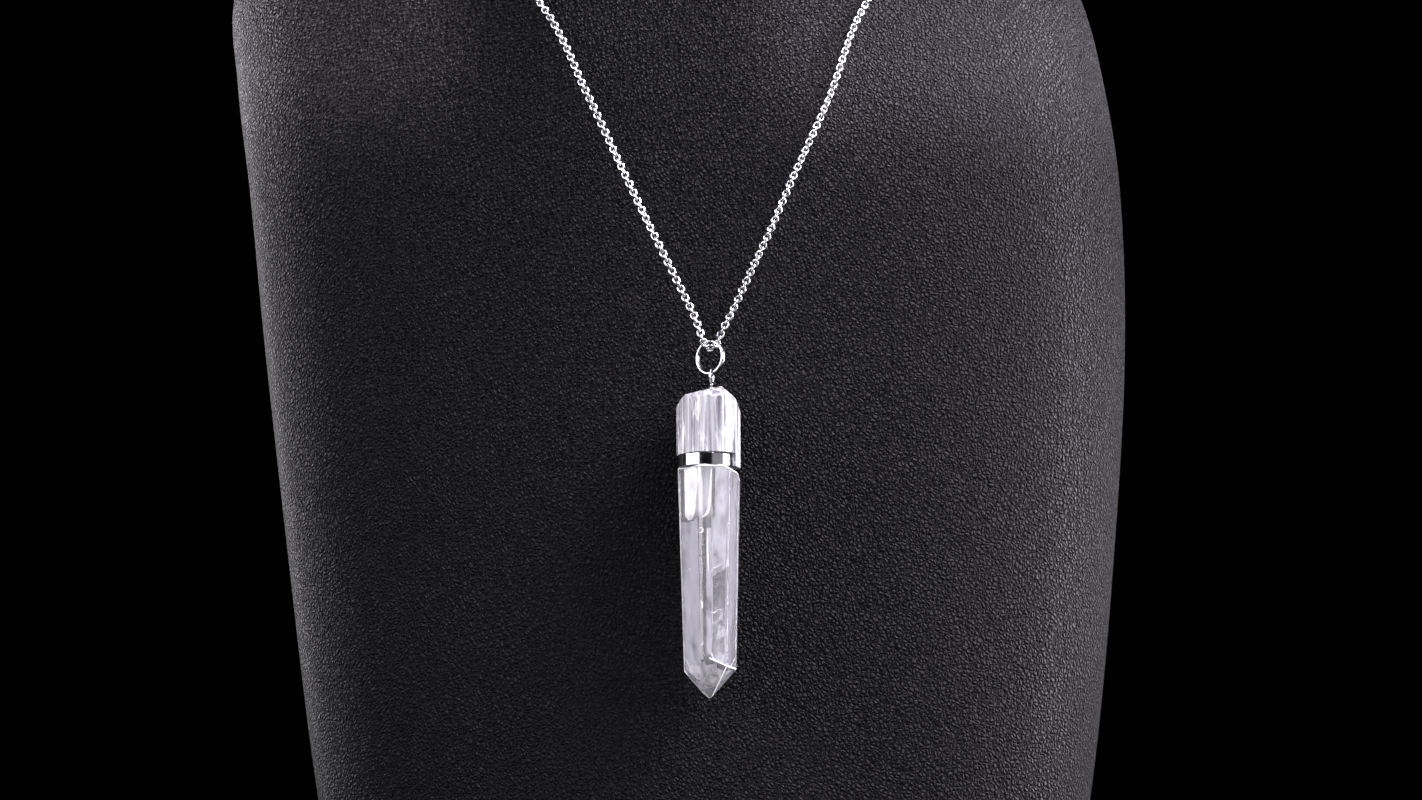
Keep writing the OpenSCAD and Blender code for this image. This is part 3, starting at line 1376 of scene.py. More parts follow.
def bevel(piece: Piece, width: float, segments: int, angle: float) -> None:
    """Softens a piece's edges, whose new faces take its second material.

    Args:
        piece: the object.
        width: width of the bevel.
        segments: strips across each bevel.
        angle: least angle of a softened edge, in degrees.
    """
    edge = piece.modifiers.new("edges", "BEVEL")
    edge.width = width * MM
    edge.segments = segments
    edge.limit_method = "ANGLE"
    edge.angle_limit = math.radians(angle)
    edge.use_clamp_overlap = True
    edge.material = 1
    piece.data.materials.append(None)
    piece.data.materials.append(None)
    apply_modifiers(piece)


@dataclass
class PointStone:
    """The long clear point with its drilled bore and chipped edges."""

    collar: Collar
    frame: Matrix
    cap_depth: float
    edge: float = 0.17
    outline_x: float = 4.7
    rim_z: float = -17.9
    front_y: float = -1.0
    low_right_x: float = -0.4
    low_right_z: float = -56.2
    bevel_steps: int = 3
    bevel_angle: float = 9
    crease_angle: float = 24
    chip_seed: int = 5
    chip_reach: float = 1.4
    wall_play: float = 0.02

    def stone(self) -> FacetedStone:
        """The stone's flat faces.

        Returns:
            The faceted stone.
        """
        top = -self.cap_depth - self.collar.height - 2 * self.collar.seat
        faces = [*POINT_SIDES, *POINT_SHOULDER, *(t.face() for t in POINT_TIP)]
        return FacetedStone(faces, top, top)

    def bore(self) -> Piece:
        """The drilled bore with its round end.

        Returns:
            The cutter.
        """
        c = self.collar
        mouth = -self.cap_depth - c.seat - c.height
        round_z = mouth - c.point_bore_len + c.point_bore_r
        ball = round_end(c.point_bore_r, round_z, 10)
        wall = [(c.point_bore_r, round_z), (c.point_bore_r, mouth + 1.0)]
        return turned("bore", ball + wall, (c.bore_x, c.bore_y))

    def grind(self, stone: Piece) -> None:
        """Gives the drilled wall its ground finish, and the chips their bruised one.

        Args:
            stone: the carved stone.
        """
        c = self.collar
        end = -self.cap_depth - c.seat - c.height - c.point_bore_len - self.wall_play
        for face in stone.data.polygons:
            x, y, z = np.array(face.center) / MM
            aside = math.hypot(x - c.bore_x, y - c.bore_y)
            chipped = any(
                math.dist((x, y, z), chip[:3]) < self.chip_reach * chip.radius
                for chip in POINT_CHIPS
            )
            if aside < c.point_bore_r + self.wall_play and z > end:
                face.material_index = 2
            elif chipped:
                face.material_index = 1

    def polish_ridges(self, stone: Piece) -> None:
        """Polishes the front's edges, save the white painted highlight lines at the outline, rim
        and low right.

        Args:
            stone: the bevelled stone.
        """
        for face in stone.data.polygons:
            x, y, z = np.array(face.center) / MM
            outline = abs(x) > self.outline_x or z > self.rim_z or y > self.front_y
            low_right = z < self.low_right_z and x > self.low_right_x
            if face.material_index == 1 and not (outline or low_right):
                face.material_index = 0

    def build(self) -> Piece:
        """Makes and dresses the stone.

        Returns:
            The stone.
        """
        stone = self.stone().cut("point_quartz", self.frame)
        bevel(stone, self.edge, self.bevel_steps, self.bevel_angle)
        self.polish_ridges(stone)
        carve(stone, [self.bore(), chip_cutters(POINT_CHIPS, self.chip_seed)])
        self.grind(stone)
        smooth_shade(stone, self.crease_angle)
        clear = QuartzFinish(
            "Point quartz", clear=(0.95, 0.95, 0.98), milky=WHITE, bright=WHITE, transmission=0.86,
            smooth=0.02, rough=0.12, streaks_per_m=700, streak_level=0.66, clouds_per_m=95,
            cloud_level=0.62, ripple=0.00001,
        )
        # The white bevel faces left on the outline, the rim and the low right stand in for bright
        # edge lines, as painted highlight; on the chips the same white is bruised quartz.
        edges = GroundFinish(
            "Bruised quartz edge and painted rim highlight", WHITE, (0.85, 0.85, 0.88), per_m=900, drawn=0.4, level=0.38
        )
        bore = GroundFinish(
            "Ground bore", (0.86, 0.86, 0.89), (0.50, 0.50, 0.54), per_m=560, drawn=0.03,
            level=0.40, mirror=0.4, smooth=0.45, rough=0.6,
        )
        dress = [clear.build(), edges.build(), bore.build()]
        finish_piece(stone, Slot.POINT_QUARTZ, dress, "point_stone")
        return stone


POINT_CHIPS = (
    Chip(-5.55, -3.1, -49.3, 0.42),
    Chip(5.75, -1.6, -46.6, 0.5),
    Chip(6.1, -0.4, -36.5, 0.35),
    Chip(-5.9, -2.4, -33.5, 0.3),
    Chip(-1.4, -5.75, -58.9, 0.35),
    Chip(0.9, -6.0, -28.4, 0.28),
    Chip(3.6, 4.4, -40.2, 0.45),
    Chip(-4.4, 4.0, -52.1, 0.5),
    Chip(-6.0, -3.0, -19.2, 0.4),
)


CAP_SIDES = (
    Face(-82, 0, 6.75),
    Face(-52, -0.3, 6.15),
    Face(-22, 0.3, 6.3),
    Face(8, -0.4, 6.05),
    Face(38, 0, 6.2),
    Face(66, -0.2, 6.3),
    Face(92, 0, 6.6),
    Face(124, -0.3, 6.2),
    Face(152, 0, 6.1),
    Face(181, 0, 5.95),
    Face(211, -0.2, 6.1),
    Face(243, 0, 6.25),
)
CAP_DOME = (
    Face(-65, 75, -0.35),
    Face(-90, 46, 2.15),
    Face(-85, 25, 4.4),
    Face(-35, 52, 1.9),
    Face(-30, 22, 4.6),
    Face(10, 60, 1.2),
    Face(8, 28, 4.1),
    Face(48, 52, 1.9),
    Face(55, 22, 4.5),
    Face(90, 45, 1.98),
    Face(95, 28, 3.4),
    Face(140, 42, 2.4),
    Face(180, 54, 1.3),
    Face(184, 22, 4.3),
    Face(228, 42, 2.3),
)


class Groove(NamedTuple):
    """An upright groove: azimuth, distance of its floor, radius."""

    azimuth: float
    floor: float
    radius: float


CAP_GROOVES = (
    Groove(-74, 6.42, 0.5),
    Groove(-60, 6.1, 0.7),
    Groove(-45, 6.05, 0.4),
    Groove(-33, 6.25, 0.6),
    Groove(-14, 6.2, 0.45),
    Groove(-3, 5.95, 0.8),
    Groove(17, 6.0, 0.4),
    Groove(29, 6.1, 0.6),
    Groove(49, 6.2, 0.5),
    Groove(108, 6.3, 0.7),
    Groove(138, 6.25, 0.6),
    Groove(196, 6.0, 0.7),
    Groove(228, 6.25, 0.6),
    Groove(256, 6.35, 0.6),
)


@dataclass
class CapStone:
    """The rounded, streaky cap stone with a clear wall that hangs past the collar."""

    collar: Collar
    frame: Matrix
    depth: float = 14.4
    skirt_from: float = 62.0
    skirt_to: float = 128.0
    core_z: float = -5.0
    turns: int = 300
    wall_rows: int = 44
    dome_rows: int = 52
    fine_grooves: int = 70
    eye_x: float = 0.6
    eye_bore_r: float = 0.44
    eye_bore_len: float = 3.2
    streak_scale: float = 3.1
    streak_along: float = 0.14
    streak_depth: float = 0.05
    pit_scale: float = 1.7
    pit_depth: float = 0.03
    sector_reach: float = 20.0
    sector_steps: int = 13
    crease_angle: float = 38
    fine_floor: tuple[float, float] = (6.12, 6.5)
    fine_radius: tuple[float, float] = (0.1, 0.26)
    seed: int = 21

    def grooves(self) -> list[Groove]:
        """The main grooves and many finer ones.

        Returns:
            The grooves.
        """
        chance = random.Random(self.seed)
        fine = [
            Groove(
                chance.uniform(-180, 180),
                chance.uniform(*self.fine_floor),
                chance.uniform(*self.fine_radius),
            )
            for _ in range(self.fine_grooves)
        ]
        return [*CAP_GROOVES, *fine]

    def surface(self) -> np.ndarray:
        """Points of the closed stone, ring by ring from the foot up, and the top point last.

        Returns:
            The points.
        """
        foot = -self.depth - self.collar.height
        stone = FacetedStone([*CAP_SIDES, *CAP_DOME], 0.0, 4.0)
        normals, reach = stone.planes()
        azimuths = np.radians(np.arange(self.turns) * 360 / self.turns)
        level = np.stack([np.sin(azimuths), -np.cos(azimuths), np.zeros(self.turns)], axis=1)
        rings = []
        for z in np.linspace(foot, self.core_z, self.wall_rows)[:-1]:
            rings.append((np.array([0, 0, z]), level))
        for rise in np.linspace(0, math.pi / 2, self.dome_rows + 1)[:-1]:
            up = level * math.cos(rise) + np.array([0, 0, math.sin(rise)])
            rings.append((np.array([0, 0, self.core_z]), up))
        rings.append((np.array([0, 0, self.core_z]), np.array([[0.0, 0.0, 1.0]])))
        points = []
        for centre, ways in rings:
            lean = ways @ normals.T
            room = np.broadcast_to(reach - normals @ centre, lean.shape)
            far = np.where(lean > 1e-6, room / np.maximum(lean, 1e-6), np.inf).min(axis=1)
            points.append(centre + ways * far[:, None])
        return np.concatenate(points)

    def striated(self, points: np.ndarray) -> np.ndarray:
        """Presses the grooves and a little roughness into the stone's points.

        Args:
            points: the smooth stone's points.

        Returns:
            The grooved points.
        """
        out = points.copy()
        reach = np.hypot(points[:, 0], points[:, 1])
        azimuth = np.arctan2(points[:, 0], -points[:, 1])
        for groove in self.grooves():
            turn = azimuth - math.radians(groove.azimuth)
            middle = groove.floor + groove.radius
            inside = groove.radius**2 - (middle * np.sin(turn)) ** 2
            near = middle * np.cos(turn) - np.sqrt(np.maximum(inside, 0))
            hit = (inside > 0) & (np.cos(turn) > 0)
            reach = np.where(hit, np.minimum(reach, near), reach)
        drawn = np.array([self.streak_scale, self.streak_scale, self.streak_along])
        for i, p in enumerate(points):
            streak = noise.noise(Vector(p * drawn))
            pit = noise.noise(Vector(p * self.pit_scale) + Vector((9, 2, 5)))
            reach[i] -= self.streak_depth * max(streak, 0) + self.pit_depth * max(pit, 0)
        old = np.maximum(np.hypot(points[:, 0], points[:, 1]), 1e-6)
        out[:, :2] *= (np.maximum(reach, 0) / old)[:, None]
        return out

    def cutters(self) -> list[Piece]:
        """Collar's place, the open sector below it, and the bores.

        Returns:
            The cutters.
        """
        c = self.collar
        foot = -self.depth - 2 * c.height
        place = [(c.radius + c.wall_gap, foot), (c.radius + c.wall_gap, -self.depth)]
        post = [(c.cap_bore_r, -self.depth - 0.5), (c.cap_bore_r, -self.depth + c.cap_bore_len)]
        stem = [(self.eye_bore_r, -self.eye_bore_len), (self.eye_bore_r, 3.0)]
        far = self.sector_reach
        away = np.radians(np.linspace(self.skirt_to, self.skirt_from + 360, self.sector_steps))
        rim = [(0.0, 0.0)] + [(far * math.sin(a), -far * math.cos(a)) for a in away]
        rows = [(x, y, z) for z in (foot, -self.depth) for x, y in rim]
        count = len(rim)
        sides = [(k, (k + 1) % count, (k + 1) % count + count, k + count) for k in range(count)]
        caps = [tuple(range(count - 1, -1, -1)), tuple(range(count, 2 * count))]
        sector = mesh_piece("sector", np.array(rows), sides + caps)
        outward(sector)
        return [
            sector,
            turned("place", place, (c.middle_x, 0.0), 96),
            turned("post", post, (c.bore_x, c.bore_y)),
            turned("stem", stem, (self.eye_x, 0.0), 24),
        ]

    def build(self) -> Piece:
        """Makes and dresses the stone.

        Returns:
            The stone.
        """
        points = self.striated(self.surface())
        rings = (len(points) - 1) // self.turns
        faces = grid_faces(rings, self.turns, ring_columns=True)
        faces.append(tuple(range(self.turns - 1, -1, -1)))
        top, last = len(points) - 1, (rings - 1) * self.turns
        faces += [(last + k, last + (k + 1) % self.turns, top) for k in range(self.turns)]
        stone = mesh_piece("cap_quartz", points, faces, self.frame)
        outward(stone)
        carve(stone, self.cutters())
        smooth_shade(stone, self.crease_angle)
        milky = QuartzFinish(
            "Cap quartz", clear=(0.28, 0.27, 0.31), milky=(0.56, 0.56, 0.59),
            bright=(0.92, 0.92, 0.93), transmission=0.35, smooth=0.08, rough=0.32,
            streaks_per_m=620, streak_level=0.49, clouds_per_m=420, cloud_level=0.60,
            ripple=0.00003,
        )
        finish_piece(stone, Slot.CAP_QUARTZ, [milky.build()], "cap_stone")
        return stone


class Milk(NamedTuple):
    """A layer under a flat face, most often milk and in a few places painted highlight or painted
    reflection: its limits, and how its top and foot curve or lean.
    """

    face: Face
    depth: float
    top: float
    foot: float
    left: float = -3.4
    right: float = 3.4
    arch: float = 0.0
    lean: float = 0.0
    bowl: float = 0.0
    taper: float = 0.0


class Seam(NamedTuple):
    """A bright crack behind the front faces, or a bright line of painted highlight along the
    outline: its line in x and z, seen width, and depth.
    """

    line: tuple[tuple[float, float], ...]
    width: float
    depth: float


@dataclass
class InnerVeils:
    """Milky layers and cracks inside the point, and some sheets and lines of painted highlight and
    painted reflection.
    """

    stone: FacetedStone
    frame: Matrix
    columns: int = 22
    rows: int = 60
    margin: float = 0.3
    wave: float = 0.22
    wave_across: float = 0.8
    wave_along: float = 0.35
    wave_shift: float = 3.7
    edge_rough: float = 0.35
    edge_scale: float = 1.7
    crack_rough: float = 0.5
    crack_scale: float = 0.9
    crack_steps: int = 10
    crease_angle: float = 80
    core: np.ndarray = field(default_factory=lambda: np.array([0.0, 0.0, -42.0]))

    def layer(self, milk: Milk, seed: int) -> np.ndarray:
        """Points of one layer, kept inside the stone.

        Args:
            milk: the layer's row.
            seed: moves its waves and rough ends.

        Returns:
            The points, row by row from the top.
        """
        az, rise = math.radians(milk.face.azimuth), math.radians(milk.face.rise)
        normal = milk.face.normal()
        reach = milk.face.distance + normal[2] * self.stone.origin_z
        out = np.array([math.sin(az), -math.cos(az), 0.0])
        side = np.array([math.cos(az), math.sin(az), 0.0])
        rows = []
        for down in np.linspace(0, 1, self.rows):
            for across in np.linspace(-1, 1, self.columns):
                right = milk.right - milk.taper * down
                u = milk.left + (right - milk.left) * (across + 1) / 2
                rough = self.edge_rough * noise.noise(Vector((u * self.edge_scale, seed, 4.0)))
                top = milk.top - milk.arch * (1 - across**2) + rough
                foot = milk.foot + milk.lean * across + milk.bowl * across**2 + rough
                z = top + (foot - top) * down
                at = Vector((u * self.wave_across, z * self.wave_along, seed * self.wave_shift))
                wave = self.wave * noise.noise(at)
                away = (reach - milk.depth + wave - normal[2] * z) / math.cos(rise)
                rows.append(side * u + out * away + np.array([0, 0, z]))
        return self.stone.press_inside(np.array(rows), self.margin, self.core)

    def front(self, x: float, z: float) -> float:
        """The y of the stone's front surface at x and z.

        Args:
            x: distance to the right.
            z: height in the crystal's frame.

        Returns:
            The y.
        """
        normals, reach = self.stone.planes()
        ahead = normals[:, 1] < -1e-6
        room = reach[ahead] - normals[ahead][:, 0] * x - normals[ahead][:, 2] * z
        return float((room / normals[ahead][:, 1]).max())

    def crack(self, seam: Seam, seed: int) -> tuple[np.ndarray, int]:
        """Points of one crack or outline highlight line and its number of rows, three points to a
        row.

        Args:
            seam: the crack's or outline line's row.
            seed: moves its roughness.

        Returns:
            The points and the number of rows.
        """
        line = smooth_line(seam.line, self.crack_steps)
        ways = np.gradient(line, axis=0)
        ways /= np.linalg.norm(ways, axis=1)[:, None]
        rows = []
        for i, ((x, z), (dx, dz)) in enumerate(zip(line, ways)):
            at = Vector((x * self.crack_scale, z * self.crack_scale, seed))
            rough = 1 + self.crack_rough * noise.noise(at)
            ends = math.sin(math.pi * (i + 0.4) / (len(line) - 0.2)) ** 0.5
            half = seam.width / 2 * rough * ends
            y = self.front(x, z) + self.margin
            for k in (-1, 0, 1):
                deep = seam.depth * (k + 1) / 2
                rows.append([x + dz * half * k, y + deep, z - dx * half * k])
        return self.stone.press_inside(np.array(rows), self.margin, self.core), len(line)

    def layers(self, name: str, milks: Sequence[Milk], finish: VeilFinish) -> Piece:
        """Makes some layers as one piece.

        Args:
            name: the piece's name.
            milks: the layers.
            finish: their finish.

        Returns:
            The new piece.
        """
        points = np.concatenate([self.layer(m, i + 1) for i, m in enumerate(milks)])
        each = self.rows * self.columns
        sheets = [grid_faces(self.rows, self.columns, i * each) for i in range(len(milks))]
        return self.piece(name, points, [quad for sheet in sheets for quad in sheet], finish)

    def cracks(self, name: str, seams: Sequence[Seam], finish: VeilFinish) -> Piece:
        """Makes the cracks and the painted outline highlights as one piece.

        Args:
            name: the piece's name.
            seams: the cracks and outline highlight lines.
            finish: their finish.

        Returns:
            The new piece.
        """
        points: list[np.ndarray] = []
        faces: list[tuple[int, ...]] = []
        for i, seam in enumerate(seams):
            rows, count = self.crack(seam, i + 1)
            faces += grid_faces(count, 3, sum(len(p) for p in points))
            points.append(rows)
        return self.piece(name, np.concatenate(points), faces, finish)

    def piece(
        self, name: str, points: np.ndarray, faces: Sequence[Sequence[int]], finish: VeilFinish
    ) -> Piece:
        """Makes and dresses one piece of veils.

        Args:
            name: the piece's name.
            points: its points.
            faces: vertex indices of each face.
            finish: its finish.

        Returns:
            The new piece.
        """
        piece = mesh_piece(name, points, faces, self.frame)
        smooth_shade(piece, self.crease_angle)
        finish_piece(piece, Slot.POINT_QUARTZ, [finish.build()])
        return piece

    def build(self) -> None:
        """Makes all layers, cracks and painted outline highlights."""
        for veil in POINT_VEILS:
            self.layers(veil.piece, veil.milks, veil.finish)
        self.cracks("point_cracks_and_rim_highlights", POINT_SEAMS_AND_RIMS, CRACK_AND_RIM_FINISH)


class Veil(NamedTuple):
    """A piece of inner layers: its name, finish and layers."""

    piece: str
    finish: VeilFinish
    milks: tuple[Milk, ...]


LAVENDER = (0.66, 0.65, 0.70)
LEFT_FACET, FRONT_FACET, RIGHT_FACET = POINT_SIDES[0], POINT_SIDES[2], POINT_SIDES[3]
BACK_FACETS, BACK_TIPS = POINT_SIDES[4:], POINT_TIP[3:]
POINT_VEILS = (
    # Pale lavender layers under the left facet and the left tip face, which make them evenly
    # bright: painted reflection of the lights inside the stone.
    Veil(
        "point_left_painted_reflection",
        VeilFinish("Lavender milk", LAVENDER, (0.60, 0.59, 0.64), 120, 0.4, 0.34, 0.3, 0.97),
        (
            Milk(LEFT_FACET, 0.45, -28.2, -58.5, right=2.35, arch=0.8),
            Milk(Face(-55, 0, 3.0), 0.3, -57.6, -64.0, -3.2, 2.2),
        ),
    ),
    Veil(
        "point_front_mottle",
        VeilFinish("Mottled milk", (0.8, 0.8, 0.83), (0.3, 0.3, 0.33), 330, 0.7, 0.5, 0.25, 0.8),
        (Milk(FRONT_FACET, 0.5, -46.8, -58.5, -0.9, 2.6),),
    ),
    Veil(
        "point_front_haze",
        VeilFinish("Pale haze", LAVENDER, (0.56, 0.55, 0.60), 150, 0.5, 0.38, 0.35, 0.85),
        (
            Milk(FRONT_FACET, 0.5, -17.5, -29.0, -0.2, 2.6),
            Milk(FRONT_FACET, 0.5, -28.5, -39.5, -0.8, 2.6, lean=1.2),
            Milk(FRONT_FACET, 0.4, -30.5, -56.8, -2.1, -1.05),
        ),
    ),
    Veil(
        "point_right_streaks",
        VeilFinish(
            "Pale streaks", (0.38, 0.37, 0.42), (0.25, 0.24, 0.28), 900, 0.05, 0.46, 0.2, 0.85,
            pattern=Effect.STREAKS,
        ),
        (Milk(RIGHT_FACET, 0.5, -17.5, -59.5),),
    ),
    Veil(
        "point_tip_milk",
        VeilFinish("Tip milk", WHITE, (0.60, 0.60, 0.63), 260, 0.7, 0.40, 0.3),
        (
            Milk(Face(-30, 0, 2.9), 0.3, -58.4, -65.0, -3.0, 3.0),
            Milk(Face(50, 0, 3.2), 0.3, -59.2, -65.0, -2.0, 3.0),
        ),
    ),
    # A white glossy sheet in front of the upper drilled bore, standing in for the bore wall's
    # brightly lit left side: painted highlight.
    Veil(
        "point_bore_painted_highlight",
        VeilFinish("Bright bore lobe", WHITE, (0.92, 0.92, 0.95), 200, 0.4, 0.22, 0.2, 1.0, 0.55),
        (Milk(Face(-39, -1.3, 5.64), 0.7, -17.5, -28.6, -2.77, 1.9, bowl=1.3, taper=1.9),),
    ),
    Veil(
        "point_back_milk",
        VeilFinish("Back milk", (0.60, 0.59, 0.64), (0.34, 0.34, 0.38), 210, 0.4, 0.5, 0.3, 0.8),
        (
            *(Milk(facet, 0.6, -17.5, -58.5) for facet in BACK_FACETS),
            *(Milk(tip.face(), 0.6, -58.0, -66.0, -4.0, 4.0) for tip in BACK_TIPS),
        ),
    ),
)
# Glossy white of the cracks, and of the outline lines of painted highlight.
CRACK_AND_RIM_FINISH = VeilFinish(
    "Bright crack", WHITE, (0.9, 0.9, 0.93), 500, 1.0, 0.34, 0.2, mirror=0.4
)
POINT_SEAMS_AND_RIMS = (
    Seam(((0.29, -24.7), (0.3, -33.0), (0.29, -44.0), (0.25, -51.0), (0.1, -56.2)), 0.26, 0.3),
    Seam(((-0.6, -30.5), (-0.62, -34.0), (-0.55, -37.5), (-0.5, -41.0)), 0.4, 0.1),
    Seam(((2.4, -58.6), (1.3, -58.1), (0.3, -57.0), (-0.3, -56.0)), 0.6, 0.6),
    Seam(((2.6, -37.6), (1.4, -38.3), (0.5, -38.7), (-0.2, -39.7), (-0.9, -40.3)), 0.75, 0.6),
    Seam(((2.4, -47.6), (1.5, -47.4), (0.7, -48.1), (-0.3, -48.0)), 0.45, 0.4),
    Seam(((0.29, -17.9), (0.1, -21.5), (-0.2, -25.0), (-0.6, -27.2), (-1.6, -28.3)), 0.6, 0.1),
    # The next four lines run along the stone's left and right outline and its tip edges: painted
    # highlight of its bright rims.
    Seam(((-6.1, -18.3), (-5.95, -30.0), (-5.65, -44.0), (-5.3, -57.0)), 0.3, 0.3),
    Seam(((-5.2, -57.2), (-3.6, -60.0), (-1.8, -62.9), (0.0, -65.3)), 0.34, 0.3),
    Seam(((5.2, -57.0), (5.6, -44.0), (5.85, -30.0), (6.0, -21.0)), 0.3, 0.3),
    Seam(((0.3, -65.3), (1.9, -62.9), (3.6, -60.0), (5.1, -57.2)), 0.34, 0.3),
    Seam(((-4.9, -39.4), (-4.3, -38.8), (-3.8, -38.9)), 0.3, 0.4),
    Seam(((-2.0, -54.9), (-1.7, -54.5), (-1.3, -54.3)), 0.4, 0.4),
    Seam(((2.3, -30.6), (2.5, -31.3), (2.4, -31.9)), 0.32, 0.3),
    Seam(((1.0, -30.4), (1.15, -31.2), (1.0, -31.8)), 0.3, 0.3),
    Seam(((-2.4, -30.4), (-1.7, -30.5), (-1.5, -31.1), (-2.1, -31.5), (-2.5, -31.0)), 0.28, 0.3),
    Seam(((-1.9, -45.5), (-1.7, -46.3), (-1.8, -47.2)), 0.3, 0.4),
)


# Silver parts


def hoop(
    name: str, profile: Sequence[tuple[float, float]], frame: Matrix, turns: int = 72
) -> Piece:
    """A closed ring about its own Z axis.

    Args:
        name: the piece's name.
        profile: (radius, height) round the ring's section.
        frame: the ring's own frame.
        turns: steps round the ring.

    Returns:
        The new piece.
    """
    sides = len(profile)
    rows = [
        [r * math.cos(a), r * math.sin(a), z]
        for a in (2 * math.pi * i / turns for i in range(turns))
        for r, z in profile
    ]
    faces = grid_faces(turns, sides, 0, True, True)
    ring = mesh_piece(name, np.array(rows), faces, frame)
    outward(ring)
    return ring


def round_wire(radius: float, wire: float, sides: int = 12) -> list[tuple[float, float]]:
    """Section of a ring of round wire."""
    turn = [2 * math.pi * k / sides for k in range(sides)]
    return [(radius + wire / 2 * math.cos(a), wire / 2 * math.sin(a)) for a in turn]


def flat_stock(radius: float, thick: float, wide: float, edge: float) -> list[tuple[float, float]]:
    """Section of a ring of flat stock with rounded edges.

    Args:
        radius: middle radius of the ring.
        thick: thickness, outwards.
        wide: width, along the axis.
        edge: radius of the rounded edges.

    Returns:
        (radius, height) round the section.
    """
    corners = ((1, 1), (-1, 1), (-1, -1), (1, -1))
    rows = []
    for quarter, (sign_r, sign_z) in enumerate(corners):
        for step in range(4):
            a = math.pi / 2 * (quarter + step / 3)
            r = radius + sign_r * (thick / 2 - edge) + edge * math.cos(a)
            rows.append((r, sign_z * (wide / 2 - edge) + edge * math.sin(a)))
    return rows


def join(pieces: Sequence[Piece], name: str) -> Piece:
    """Joins pieces into one, in the row's frame.

    Args:
        pieces: the objects, which are then removed.
        name: the new piece's name.

    Returns:
        The joined piece.
    """
    shape = bmesh.new()
    for piece in pieces:
        bpy.context.view_layer.update()
        mesh = piece.data.copy()
        mesh.transform(piece.matrix_world)
        shape.from_mesh(mesh)
        bpy.data.meshes.remove(mesh)
        bpy.data.objects.remove(piece)
    return from_shape(name, shape)


def turn_deg(angle: float, axis: str) -> Matrix:
    """Rotation by degrees about an axis."""
    return Matrix.Rotation(math.radians(angle), 4, axis)


def shift(x: float, y: float, z: float) -> Matrix:
    """Move by millimetres."""
    return Matrix.Translation((x * MM, y * MM, z * MM))


